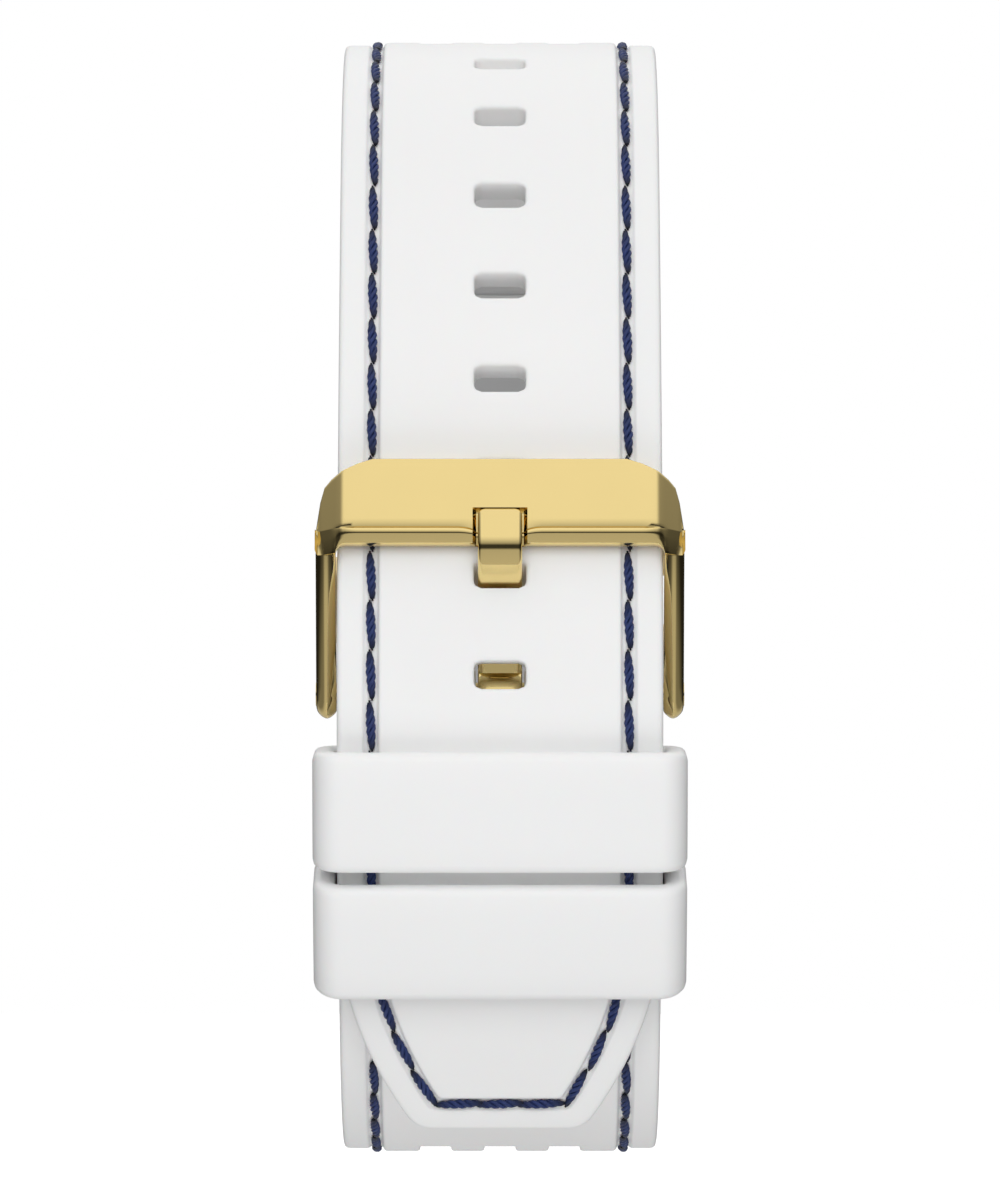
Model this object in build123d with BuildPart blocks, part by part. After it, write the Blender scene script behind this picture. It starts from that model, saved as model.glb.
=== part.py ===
from build123d import *
import os
from math import cos, degrees, atan2, asin, radians, sin

os.makedirs("parts", exist_ok=True)

# A closed wrist watch with a stitched silicone strap and a tang buckle.
# +X runs through the wrist opening, +Y points to the display, +Z to the twelve o'clock end.
# The origin is the centre of the wrist opening. Outlines in the YZ plane are written as (y, z).

# ---------------------------------------------------------------- driving dimensions, mm
clearance = 0.15  # between pieces that move past each other
running_fit = 0.05  # around a shaft in its bore

# strap section
strap_width = 22.0
strap_thickness = 2.5
edge_width = 1.8  # border outside the stitched channel
edge_drop = 0.2  # border below the middle of the strap
channel_width = 1.0
channel_depth = 0.5
thread_width = 0.6
thread_height = 0.4

# strap holes
slot_length = 3.5
slot_height = 1.9
slot_corner = 0.5
slot_pitch = 7.0
slot_count = 8
first_slot_from_tip = 33.8
tang_slot = 1  # counted from the tip, first is 0

# ribs beside the case
rib_groove_width = 2.2
rib_groove_depth = 0.5
rib_groove_pitch = 4.55
upper_groove_length = 28.0
lower_groove_length = 34.0
groove_stop = 4.5  # plain strap left beside the lug bar

# shape of the loop: outer face of the long strap
front_y = -26.0
front_z = -8.2
front_radius = 41.3
flank_radius = 164.0
crown_radius = 20.4
tail_radius = 100.0  # the tip springs away from the short strap
tail_start = 27.0  # degrees below the horizontal
tail_end = 33.4
short_corner_radius = 21.0  # outer face of the short strap below the keepers
short_corner_start = 34.0
flank_start = 17.2  # degrees above the horizontal
flank_end = 26.4

# tip of the long strap: (distance from the end, inset of the side)
tip_insets = ((0.0, 6.0), (0.5, 5.0), (4.0, 3.07), (8.5, 1.31), (13.0, 0.29), (17.0, 0.0))

# case
case_width = 23.2
case_length = 45.0
case_corner = 4.0
case_back_y = 20.0
case_front_y = 31.0
case_wall = 1.8
lug_width = 2.4
lug_radius = 1.9
lug_bar_reach = 3.5  # lug bar beyond the end of the case
lug_bar_y = 24.5
lug_end_gap = 0.35
knuckle_end_gap = 1.2  # further room between the strap's knuckle and the end of the case
pin_hole_depth = 1.3

# quick-release bars
bar_tube_radius = 0.8
bar_bore_radius = 0.52
bar_pin_radius = 0.45
bar_pin_travel = 1.2
bar_knob_radius = 0.5
bar_knob_x = 6.0
bar_knob_reach = 2.5
bar_spring_length = 6.0
bar_spring_turns = 9
spring_wire_radius = 0.09

# buckle and keepers
buckle_bar_radius = 0.8
buckle_bar_z = -6.4
buckle_bar_inset = 1.9  # below the inner face of the long strap
buckle_knuckle_radius = 1.7
arm_width = 1.4
arm_gap = 0.1
arm_eye_radius = 1.65
arm_end_radius = 0.8
arm_sink = 0.1  # front of the arms below the face of the plate
plate_thickness = 1.6
plate_gap = 0.2
plate_low_z = 3.45
plate_high_z = 9.05
# upper corner of the plate: (inset from its side, drop from its top)
plate_corner = ((3.9, 0.0), (1.8, 0.85), (0.63, 1.8), (0.35, 2.8), (0.0, 5.3))
tang_width = 3.0
tang_thickness = 1.0
tang_eye_radius = 1.6
tang_tip_z = 5.6
tang_bend_drop = 0.55  # bend of the tang below the plate
tang_lift = 0.15
tang_slope = 45.0  # degrees, where the tang passes through the strap
tang_reach = 5.87
notch_depth = 0.6
notch_length = 2.35
keeper_wall = 1.5
keeper_length = 8.0
keeper_gap = 1.0
keeper_from_bar = 4.05  # from the buckle bar to the upper keeper

# buttons: (name, side, height)
buttons = (("up", 1, 5.0), ("down", 1, -5.0), ("power", -1, 0.0))
button_y = 24.2
button_length = 6.4
button_depth = 3.0
button_proud = 1.3
button_cap = 1.15
button_travel = 0.6
button_stem_radius = 0.8
button_pocket_depth = 0.6
button_boss = 0.6
button_boss_radius = 1.6
button_spring_room = 0.65  # around the stem
button_spring_seat = 0.6  # below the pocket
button_spring_turns = 3
seal_wire_radius = 0.2
clip_thickness = 0.35
clip_radius = 1.35

button_round = 0.4
button_spring_recess = 0.4  # in the underside of the cap
switch_depth = 1.3
switch_length = 3.0
switch_height = 1.6

# inside the case
case_back_round = 0.9
lug_root = 7.0
bezel_border = 1.9
bezel_end_border = 2.8
bezel_corner = 2.4
bezel_round = 0.8
crystal_bevel = 0.25
display_overlap = 0.6
frame_rim = 1.0
frame_web = 0.4
flex_width = 8.0
flex_thickness = 0.2
# chips on the board: (width, length, x, distance below the antenna)
chips = ((6.0, 6.0, 0.0, 13.0), (5.0, 5.0, -1.0, 6.0), (4.0, 5.0, 3.0, 21.5), (3.0, 4.0, -3.5, 21.0))
back_plate = 1.4
back_rim = 1.0
gasket_thickness = 0.5
bezel_height = 1.8
bezel_ledge = 0.5
crystal_thickness = 1.05
crystal_rim = 1.8
display_thickness = 1.5
board_thickness = 0.8
board_y = 25.0
chip_height = 0.9
battery_width = 12.4
battery_thickness = 3.2
battery_gap = 0.7  # to the motor above it and the contacts below it
motor_radius = 4.0
motor_thickness = 2.7
motor_inset = 7.3  # insets are measured from the end of the case
antenna_width, antenna_length, antenna_thickness = 12.0, 5.0, 1.5
antenna_inset = 7.0
contact_radius = 0.75
contact_pitch = 2.6
contact_inset = 5.9
screw_radius = 0.6
screw_head_radius = 1.15
screw_head_height = 0.7
screw_length = 3.8
screw_inset = 3.6  # from the side and from the end of the case
boss_radius = 1.5

# ---------------------------------------------------------------- values that follow
half_strap = strap_width / 2
channel_start = half_strap - edge_width - channel_width
channel_middle = channel_start + channel_width / 2
strap_stack = strap_thickness * 2 + clearance
lug_bar_z = case_length / 2 + lug_bar_reach
lug_inner = case_width / 2 - lug_width
tongue_half = lug_inner - clearance
knuckle_radius = lug_bar_reach - lug_end_gap - knuckle_end_gap
inner_wall_x = case_width / 2 - case_wall
cavity_width = case_width - case_wall * 2
cavity_length = case_length - case_wall * 2
cavity_corner = case_corner - case_wall
bezel_y = case_front_y - bezel_height
back_inner_y = case_back_y + back_plate
ledge_y = back_inner_y + gasket_thickness
screw_x = case_width / 2 - screw_inset
screw_z = case_length / 2 - screw_inset
motor_z = case_length / 2 - motor_inset
antenna_z = case_length / 2 - antenna_inset
contact_z = contact_inset - case_length / 2
battery_top = motor_z - motor_radius - battery_gap
battery_bottom = contact_z + contact_radius + battery_gap
battery_length = battery_top - battery_bottom
battery_z = (battery_top + battery_bottom) / 2
arm_inner = half_strap + arm_gap
arm_outer = arm_inner + arm_width


# ---------------------------------------------------------------- helpers
def direction(angle):
    """Unit vector at an angle in the YZ plane."""
    return Vector(cos(radians(angle)), sin(radians(angle)))


def tangent_arcs(centre, radii, angles):
    """Arcs that run on into each other, as (centre, radius, first angle, last angle)."""
    arcs = []
    for index, radius in enumerate(radii):
        first, last = angles[index], angles[index + 1]
        arcs.append((centre, radius, first, last))
        if index + 1 < len(radii):
            centre = centre + direction(last) * (radius - radii[index + 1])
    return arcs


def closing_radius(peak, bar, half):
    """Radius of the arc that leaves a peak level and brings the middle of the strap to a bar."""
    run, rise = bar.X - peak.X, abs(bar.Y - peak.Y)
    return (run**2 + rise**2 - half**2) / (2 * (rise - half))


def arc_length(arc):
    centre, radius, first, last = arc
    return radius * radians(abs(last - first))


def stretch(arcs, start, stop):
    """The part of a chain of arcs between two distances from its beginning."""
    pieces = []
    travelled = 0.0
    for arc in arcs:
        centre, radius, first, last = arc
        length = arc_length(arc)
        low = max(start - travelled, 0.0) / length
        high = min(stop - travelled, length) / length
        if high > low:
            turn = last - first
            pieces.append((centre, radius, first + turn * low, first + turn * high))
        travelled += length
    return pieces


def surface_plane(arcs, distance):
    """Plane on the outer face at a distance along it, facing outward, with its x along the wrist."""
    centre, radius, first, last = stretch(arcs, 0, distance)[-1]
    point = centre + direction(last) * radius
    out = direction(last)
    return Plane(origin=(0, point.X, point.Y), x_dir=(1, 0, 0), z_dir=(0, out.X, out.Y))


def distance_at(arcs, z, far):
    """Distance along a chain at which it rises to a height, searched for up to a far distance."""
    near = 0.01
    for _ in range(40):
        middle = (near + far) / 2
        if surface_plane(arcs, middle).origin.Z < z:
            near = middle
        else:
            far = middle
    return near


def above(arcs, z, far, height):
    """Point at a height over the outer face, beside the place where the face is at z."""
    place = surface_plane(arcs, distance_at(arcs, z, far))
    point = place.origin + place.z_dir * height
    return Vector(point.Y, point.Z)


def band_face(arcs, outer, inner, x=0.0):
    """Outline between two offsets of a chain of arcs, in a plane across the wrist opening."""
    with BuildSketch(Plane.YZ.offset(x)) as band:
        with BuildLine():
            for shift in (outer, inner):
                for centre, radius, first, last in arcs:
                    CenterArc(centre, radius + shift, first, last - first)
            for centre, radius, angle in (
                (arcs[0][0], arcs[0][1], arcs[0][2]),
                (arcs[-1][0], arcs[-1][1], arcs[-1][3]),
            ):
                out = direction(angle)
                Line(centre + out * (radius + outer), centre + out * (radius + inner))
        make_face()
    return band.sketch


def rod(radius, start, stop, at):
    """Round bar along X between two places."""
    with BuildPart() as bar:
        with BuildSketch(Plane.YZ.offset(start)):
            with Locations((at.X, at.Y)):
                Circle(radius)
        extrude(amount=stop - start)
    return bar.part


def slab(width, length, corner, back, front, at=(0, 0)):
    """Rounded plate parallel to the display, from one depth to another; at is (x, z)."""
    with BuildPart() as plate:
        with BuildSketch(Plane.XZ.offset(-back)):
            with Locations(at):
                RectangleRounded(width, length, corner)
        extrude(amount=back - front)
    return plate.part


def post(radius, back, front, at):
    """Round post along Y from one depth to another; at is (x, z)."""
    with BuildPart() as pillar:
        with BuildSketch(Plane.XZ.offset(-back)):
            with Locations(at):
                Circle(radius)
        extrude(amount=back - front)
    return pillar.part


def coil(radius, wire, start, end, turns, at):
    """Compression spring along X between two places; radius is to the middle of the wire."""
    side = 1 if end > start else -1
    height = abs(end - start) - 2 * wire
    with BuildPart() as spring:
        with BuildLine() as wind:
            Helix(pitch=height / turns, height=height, radius=radius,
                  center=(start + side * wire, at.X, at.Y), direction=(side, 0, 0))
        with BuildSketch(Plane(origin=wind.line @ 0, z_dir=wind.line % 0)):
            Circle(wire)
        sweep(is_frenet=True)
    return spring.part


def corner_places(x, z):
    """The four places at the same distances from the middle of the display."""
    return [(side * x, end * z) for side in (-1, 1) for end in (-1, 1)]


def save(piece, name):
    piece.part.label = name
    export_step(piece.part, "parts/" + name + ".step")


# ---------------------------------------------------------------- routes of both strap halves
front_centre = Vector(front_y + front_radius, front_z)
tail_angle = 180 + tail_start
tail_centre = front_centre + direction(tail_angle) * (front_radius - tail_radius)
upper_bar = Vector(lug_bar_y, lug_bar_z)
lower_bar = Vector(lug_bar_y, -lug_bar_z)

long_radii = [tail_radius, front_radius, flank_radius, crown_radius]
long_angles = [180 + tail_end, tail_angle, 180 - flank_start, 180 - flank_end, 90]
crown_centre = tangent_arcs(tail_centre, long_radii, long_angles)[-1][0]
crown_peak = crown_centre + direction(90) * crown_radius
upper_rear_radius = closing_radius(crown_peak, upper_bar, strap_thickness / 2)
upper_rear_centre = crown_peak - direction(90) * upper_rear_radius
upper_lug_side = upper_bar - upper_rear_centre
upper_lug_angle = degrees(atan2(upper_lug_side.Y, upper_lug_side.X))
long_route = tangent_arcs(
    tail_centre, long_radii + [upper_rear_radius], long_angles + [upper_lug_angle]
)
long_length = sum(arc_length(arc) for arc in long_route)

short_drop = strap_thickness + clearance
buckle_bar_radius_from_centre = front_radius - strap_thickness - buckle_bar_inset
buckle_bar_angle = 180 - degrees(asin((buckle_bar_z - front_z) / buckle_bar_radius_from_centre))
buckle_bar_at = front_centre + direction(buckle_bar_angle) * buckle_bar_radius_from_centre
short_corner_angle = 180 + short_corner_start
short_front_radius = front_radius - short_drop
short_corner_centre = front_centre + direction(short_corner_angle) * (
    short_front_radius - short_corner_radius
)
foot = short_corner_centre + direction(270) * short_corner_radius
lower_rear_radius = closing_radius(foot, lower_bar, strap_thickness / 2)
lower_rear_centre = foot + direction(90) * lower_rear_radius
lower_lug_side = lower_bar - lower_rear_centre
lower_lug_angle = degrees(atan2(lower_lug_side.Y, lower_lug_side.X)) + 360
short_route = tangent_arcs(
    front_centre,
    [short_front_radius, short_corner_radius, lower_rear_radius],
    [buckle_bar_angle, short_corner_angle, 270, lower_lug_angle],
)
short_length = sum(arc_length(arc) for arc in short_route)


# ---------------------------------------------------------------- strap halves
def tip_outline(inset):
    """Outline of the tip seen from the front, moved inward from its edge."""
    sides = [
        (half_strap - side - inset, surface_plane(long_route, max(away, inset, 0.01)).origin.Z)
        for away, side in tip_insets
    ]
    low = -0.5 if inset == 0 else 0.0
    right = [(sides[0][0], sides[0][1] + low)] + sides[1:] + [(sides[-1][0], sides[-1][1] + 6)]
    with BuildSketch(Plane.XZ) as outline:
        with BuildLine():
            Polyline(*right, *[(-x, z) for x, z in reversed(right)], close=True)
        make_face()
    return outline.sketch


def tip_layer(outer_inset, inner_inset, outer, inner):
    """Ring that follows the tip between two insets and two depths."""
    with BuildPart() as ring:
        extrude(tip_outline(outer_inset), amount=-front_y + 4)
        extrude(tip_outline(inner_inset), amount=-front_y + 4, mode=Mode.SUBTRACT)
        whole = stretch(long_route, 0.0, tip_insets[-1][0])
        extrude(band_face(whole, outer, inner), amount=half_strap, both=True, mode=Mode.INTERSECT)
    return ring.part


def tip_waste():
    """What is cut off beside the tip."""
    whole = stretch(long_route, 0, tip_insets[-1][0])
    with BuildPart() as waste:
        extrude(band_face(whole, 1, -strap_thickness - 1), amount=half_strap + 1, both=True)
        extrude(tip_outline(0), amount=-front_y + 4, mode=Mode.SUBTRACT)
    return waste.part


def strip(route, start, stop, outer, inner, first_x, last_x):
    """Strip along the strap between two distances, two depths and two sides."""
    with BuildPart() as run:
        face = band_face(stretch(route, start, stop), outer, inner, first_x)
        extrude(face, amount=last_x - first_x)
    return run.part


taper = tip_insets[-1][0]
edge_start = half_strap - edge_width
channel_sides = ((channel_start, edge_start), (-edge_start, -channel_start))
outer_sides = ((edge_start, half_strap), (-half_strap, -edge_start))
thread_sides = [
    (side * channel_middle - thread_width / 2, side * channel_middle + thread_width / 2)
    for side in (-1, 1)
]

rib_grooves = [-rib_groove_pitch, 0.0, rib_groove_pitch]


def relief(route, start):
    """What is cut from the outer face: borders, channels and the grooves beside the case."""
    length = sum(arc_length(arc) for arc in route)
    groove = upper_groove_length if route is long_route else lower_groove_length
    with BuildPart() as cut:
        for first_x, last_x in outer_sides:
            add(strip(route, start, length, 1, -edge_drop, first_x, last_x))
        for first_x, last_x in channel_sides:
            add(strip(route, start, length - groove_stop, 1, -channel_depth, first_x, last_x))
        for x in rib_grooves:
            add(strip(route, length - groove, length - groove_stop, 1, -rib_groove_depth,
                      x - rib_groove_width / 2, x + rib_groove_width / 2))
    return cut.part


def lug_end(bar):
    """Knuckle around a lug bar, between the lugs."""
    return rod(knuckle_radius, -tongue_half, tongue_half, bar)


def lug_end_waste(bar, inward):
    """Room for the lugs, the bore for the bar and the window for its release knob."""
    room = lug_radius + clearance * 2
    with BuildPart() as waste:
        for side in (-1, 1):
            add(rod(room, side * tongue_half, side * (half_strap + 1), bar))
        add(rod(bar_tube_radius + running_fit, -tongue_half - 1, tongue_half + 1, bar))
        window = Plane(origin=(bar_knob_x - bar_pin_travel / 2, bar.X, bar.Y),
                       x_dir=(1, 0, 0), z_dir=(0, inward.X, inward.Y))
        with BuildSketch(window):
            SlotOverall(bar_pin_travel + 2 * (bar_knob_radius + clearance),
                        2 * (bar_knob_radius + clearance))
        extrude(amount=knuckle_radius + 2)
    return waste.part


# path of the tang from its hinge through the strap to its tip
long_rise = long_length - arc_length(long_route[-1])  # the long strap rises as far as its crown
tang_half = tang_thickness / 2
tang_seat = plate_gap + plate_thickness - notch_depth + tang_half + running_fit
tang_tip = above(long_route, tang_tip_z - tang_half, long_rise, tang_seat)
tang_bend = above(long_route, plate_low_z - tang_bend_drop, long_rise, tang_seat + tang_lift)
tang_foot = tang_bend + direction(-tang_slope) * tang_reach
tang_path = [buckle_bar_at, tang_foot, tang_bend, tang_tip]

slot_distances = [first_slot_from_tip + slot_pitch * index for index in range(slot_count)]

with BuildPart() as long_strap:
    extrude(band_face(long_route, 0, -strap_thickness), amount=half_strap, both=True)
    add(tip_waste(), mode=Mode.SUBTRACT)
    add(tip_layer(0, edge_width, 1, -edge_drop), mode=Mode.SUBTRACT)
    add(tip_layer(edge_width, edge_width + channel_width, 1, -channel_depth), mode=Mode.SUBTRACT)
    add(relief(long_route, taper), mode=Mode.SUBTRACT)
    for index, distance in enumerate(slot_distances):
        place = surface_plane(long_route, distance)
        height = slot_height
        if index == tang_slot:
            along = tang_bend - tang_foot
            place = Plane(origin=place.origin, x_dir=(1, 0, 0), z_dir=(0, along.X, along.Y))
            height = tang_thickness + clearance * 4
        with BuildSketch(place):
            RectangleRounded(slot_length, height, slot_corner)
        extrude(amount=strap_thickness * 2, both=True, mode=Mode.SUBTRACT)
    add(lug_end(upper_bar))
    add(lug_end_waste(upper_bar, direction(upper_lug_angle + 180)), mode=Mode.SUBTRACT)
save(long_strap, "long_strap")

with BuildPart() as short_strap:
    extrude(band_face(short_route, 0, -strap_thickness), amount=half_strap, both=True)
    add(relief(short_route, buckle_knuckle_radius * 2), mode=Mode.SUBTRACT)
    add(rod(buckle_knuckle_radius, -half_strap, half_strap, buckle_bar_at))
    add(rod(buckle_bar_radius + running_fit, -half_strap - 1, half_strap + 1, buckle_bar_at),
        mode=Mode.SUBTRACT)
    # notch that the tang swings in
    notch_half = tang_width / 2 + clearance
    for radius in (tang_eye_radius + clearance, buckle_knuckle_radius + 0.5):
        add(rod(radius, -notch_half, notch_half, buckle_bar_at), mode=Mode.SUBTRACT)
    add(lug_end(lower_bar))
    add(lug_end_waste(lower_bar, direction(lower_lug_angle + 180)), mode=Mode.SUBTRACT)
save(short_strap, "short_strap")

# waxed thread, laid in the channels
thread_base = thread_height - channel_depth
thread_edge = edge_width + (channel_width - thread_width) / 2
with BuildPart() as long_strap_stitching:
    add(tip_layer(thread_edge, thread_edge + thread_width, thread_base, -channel_depth))
    for first_x, last_x in thread_sides:
        add(strip(long_route, taper, long_length - groove_stop - thread_width, thread_base,
                  -channel_depth, first_x, last_x))
save(long_strap_stitching, "long_strap_stitching")

with BuildPart() as short_strap_stitching:
    for first_x, last_x in thread_sides:
        add(strip(short_route, buckle_knuckle_radius * 2 + thread_width,
                  short_length - groove_stop - thread_width, thread_base, -channel_depth,
                  first_x, last_x))
save(short_strap_stitching, "short_strap_stitching")

# ---------------------------------------------------------------- buckle and keepers
plate_run = [distance_at(long_route, z, long_rise) for z in (plate_low_z, plate_high_z)]
plate_outer = plate_gap + plate_thickness
arm_points = [above(long_route, z, long_rise, plate_outer - arm_end_radius - arm_sink)
              for z in (plate_low_z + arm_end_radius / 2, plate_high_z - arm_end_radius)]
notch_run = [plate_run[0] - 1, plate_run[0] + notch_length]

with BuildPart() as buckle_frame:
    extrude(band_face(stretch(long_route, *plate_run), plate_outer, plate_gap), amount=arm_outer,
            both=True)
    for side in (-1, 1):
        with BuildSketch(Plane.YZ.offset(side * arm_inner)):
            with Locations((buckle_bar_at.X, buckle_bar_at.Y)):
                Circle(arm_eye_radius)
            with Locations(*[(point.X, point.Y) for point in arm_points]):
                Circle(arm_end_radius)
            make_hull()
        extrude(amount=side * arm_width)
    # corners of the plate, seen from the front
    with BuildSketch(Plane.XZ):
        for side in (-1, 1):
            cut = [(side * (arm_outer - inset), plate_high_z - drop) for inset, drop in plate_corner]
            beyond = side * (arm_outer + 1)
            with BuildLine():
                Polyline((cut[0][0], plate_high_z + 2), *cut, (beyond, cut[-1][1]),
                         (beyond, plate_high_z + 2), close=True)
            make_face()
    extrude(amount=-front_y * 1.5, mode=Mode.SUBTRACT)
    # seat of the tang's tip
    seat = band_face(stretch(long_route, *notch_run), plate_outer + 1, plate_outer - notch_depth)
    extrude(seat, amount=tang_width / 2 + clearance, both=True, mode=Mode.SUBTRACT)
    add(rod(buckle_bar_radius, -arm_outer - 1, arm_outer + 1, buckle_bar_at), mode=Mode.SUBTRACT)
save(buckle_frame, "buckle_frame")

with BuildPart() as buckle_bar:
    add(rod(buckle_bar_radius, -arm_outer, arm_outer, buckle_bar_at))
save(buckle_bar, "buckle_bar")

with BuildPart() as tang:
    for start, end in zip(tang_path, tang_path[1:]):
        with BuildSketch(Plane.YZ):
            with Locations((start.X, start.Y), (end.X, end.Y)):
                Circle(tang_half)
            make_hull()
        extrude(amount=tang_width / 2, both=True)
    add(rod(tang_eye_radius, -tang_width / 2, tang_width / 2, buckle_bar_at))
    add(rod(buckle_bar_radius + running_fit, -tang_width, tang_width, buckle_bar_at),
        mode=Mode.SUBTRACT)
save(tang, "tang")

keeper_room = front_radius + clearance
keeper_depth = strap_stack + clearance * 2
keeper_reach = buckle_bar_angle + degrees(keeper_from_bar / keeper_room)
keeper_turn = degrees((keeper_length + keeper_gap) / keeper_room)
for index, name in enumerate(("upper_keeper", "lower_keeper")):
    first = keeper_reach + index * keeper_turn
    arc = [(front_centre, keeper_room, first, first + degrees(keeper_length / keeper_room))]
    with BuildPart() as keeper:
        outside = band_face(arc, keeper_wall, -keeper_depth - keeper_wall)
        extrude(outside, amount=half_strap + clearance + keeper_wall, both=True)
        long_edges = keeper.edges().filter_by(GeomType.CIRCLE)
        fillet(long_edges, radius=keeper_wall)
        extrude(band_face(arc, 0, -keeper_depth), amount=half_strap + clearance, both=True,
                mode=Mode.SUBTRACT)
    save(keeper, name)

# ---------------------------------------------------------------- quick-release bars
for name, bar, angle in (("upper", upper_bar, upper_lug_angle), ("lower", lower_bar, lower_lug_angle)):
    inward = direction(angle + 180)
    knob_window = Plane(origin=(bar_knob_x - bar_pin_travel / 2, bar.X, bar.Y),
                        x_dir=(1, 0, 0), z_dir=(0, inward.X, inward.Y))
    pin_start = bar_knob_x - bar_knob_radius * 3
    bore_start = pin_start - bar_spring_length
    with BuildPart() as bar_tube:
        add(rod(bar_tube_radius, -tongue_half, tongue_half, bar))
        add(rod(bar_bore_radius, bore_start, tongue_half, bar), mode=Mode.SUBTRACT)
        add(rod(bar_pin_radius, -tongue_half, -lug_inner - pin_hole_depth + clearance, bar))
        with BuildSketch(knob_window):
            SlotOverall(bar_pin_travel + 2 * (bar_knob_radius + running_fit),
                        2 * (bar_knob_radius + running_fit))
        extrude(amount=bar_tube_radius + 1, mode=Mode.SUBTRACT)
    save(bar_tube, name + "_bar_tube")

    with BuildPart() as release_pin:
        add(rod(bar_pin_radius, pin_start, lug_inner + pin_hole_depth - clearance, bar))
        with BuildSketch(Plane(origin=(bar_knob_x, bar.X, bar.Y), x_dir=(1, 0, 0),
                               z_dir=(0, inward.X, inward.Y))):
            Circle(bar_knob_radius)
        extrude(amount=bar_knob_reach)
    save(release_pin, name + "_release_pin")

    with BuildPart() as bar_spring:
        add(coil(bar_bore_radius - running_fit - spring_wire_radius, spring_wire_radius, bore_start,
                 pin_start, bar_spring_turns, bar))
    save(bar_spring, name + "_bar_spring")

# ---------------------------------------------------------------- case
seat_width, seat_length = case_width - back_rim * 2, case_length - back_rim * 2
seat_corner = case_corner - back_rim
screw_places = corner_places(screw_x, screw_z)
pocket_x = case_width / 2 - button_pocket_depth
stem_end = inner_wall_x - button_boss - clip_thickness - clearance * 2
cap_under = case_width / 2 + button_proud - button_cap
seal_groove_radius = button_stem_radius + 3 * seal_wire_radius
seal_x = inner_wall_x - button_boss + 0.75
seal_half = seal_wire_radius + running_fit


def screw_boss(x, z):
    """Pillar in a corner of the case, with the wall of the case behind it."""
    away = 1.0
    outward = (x + away * (1 if x > 0 else -1), z + away * (1 if z > 0 else -1))
    side = (boss_radius + away) * 2
    with BuildPart() as pillar:
        add(slab(side, side, boss_radius, ledge_y, board_y - clearance, outward))
        add(slab(cavity_width, cavity_length, cavity_corner, ledge_y, bezel_y), mode=Mode.INTERSECT)
        add(post(screw_radius, ledge_y - 1, case_back_y + screw_length + clearance, (x, z)),
            mode=Mode.SUBTRACT)
    return pillar.part


def button_hole(side, at):
    """Pocket, spring seat, bore and seal groove of one button."""
    with BuildPart() as hole:
        with BuildSketch(Plane.YZ.offset(side * (case_width / 2 + 1))):
            with Locations((at.X, at.Y)):
                SlotOverall(button_length + clearance * 2, button_depth + clearance * 2, rotation=90)
        extrude(amount=-side * (button_pocket_depth + 1))
        spring_seat = side * (pocket_x - button_spring_seat)
        add(rod(button_stem_radius + button_spring_room, side * case_width / 2, spring_seat, at))
        add(rod(button_stem_radius + running_fit, side * case_width / 2, side * stem_end, at))
        add(rod(seal_groove_radius, side * (seal_x - seal_half), side * (seal_x + seal_half), at))
    return hole.part


with BuildPart() as case_body:
    add(slab(case_width, case_length, case_corner, case_back_y, bezel_y))
    fillet(case_body.faces().sort_by(Axis.Y)[0].edges(), radius=case_back_round)
    for side in (-1, 1):
        for bar in (upper_bar, lower_bar):
            root = (1 if bar.Y > 0 else -1) * (case_length / 2 - case_corner)
            with BuildSketch(Plane.YZ.offset(side * lug_inner)):
                with Locations((bar.X, bar.Y)):
                    Circle(lug_radius)
                with Locations(((case_back_y + bezel_y) / 2, root)):
                    Rectangle(lug_root, 1)
                make_hull()
            extrude(amount=side * lug_width)
            add(rod(bar_pin_radius + running_fit, side * (lug_inner - 1),
                    side * (lug_inner + pin_hole_depth), bar), mode=Mode.SUBTRACT)
    add(slab(seat_width, seat_length, seat_corner, case_back_y - 1, ledge_y), mode=Mode.SUBTRACT)
    add(slab(cavity_width, cavity_length, cavity_corner, ledge_y, bezel_y), mode=Mode.SUBTRACT)
    for x, z in screw_places:
        add(screw_boss(x, z))
    for name, side, z in buttons:
        at = Vector(button_y, z)
        add(rod(button_boss_radius, side * (inner_wall_x - button_boss), side * inner_wall_x, at))
        add(button_hole(side, at), mode=Mode.SUBTRACT)
save(case_body, "case_body")

with BuildPart() as case_back:
    add(slab(seat_width - clearance * 2, seat_length - clearance * 2, seat_corner - clearance,
             case_back_y, back_inner_y))
    for place in screw_places:
        add(post(screw_head_radius + clearance, case_back_y - 1, case_back_y + screw_head_height,
                 place), mode=Mode.SUBTRACT)
        add(post(screw_radius + running_fit, case_back_y, back_inner_y + 1, place),
            mode=Mode.SUBTRACT)
    for index in range(4):
        place = ((index - 1.5) * contact_pitch, contact_z)
        add(post(contact_radius, case_back_y - 1, back_inner_y + 1, place), mode=Mode.SUBTRACT)
save(case_back, "case_back")

with BuildPart() as case_back_gasket:
    add(slab(seat_width - clearance * 2, seat_length - clearance * 2, seat_corner - clearance,
             back_inner_y, ledge_y))
    add(slab(cavity_width + clearance, cavity_length + clearance, cavity_corner, back_inner_y - 1,
             ledge_y + 1), mode=Mode.SUBTRACT)
save(case_back_gasket, "case_back_gasket")

with BuildPart() as case_back_screws:
    for place in screw_places:
        add(post(screw_head_radius, case_back_y + running_fit, case_back_y + screw_head_height, place))
        add(post(screw_radius, case_back_y + screw_head_height, case_back_y + screw_length, place))
        with BuildSketch(Plane.XZ.offset(-case_back_y)):
            with Locations(place):
                RegularPolygon(screw_radius * 0.9, 6)
        extrude(amount=-screw_head_height * 0.7, mode=Mode.SUBTRACT)
save(case_back_screws, "case_back_screws")

with BuildPart() as charging_contacts:
    for index in range(4):
        place = ((index - 1.5) * contact_pitch, contact_z)
        add(post(contact_radius, case_back_y + running_fit * 2, board_y, place))
save(charging_contacts, "charging_contacts")

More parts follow.
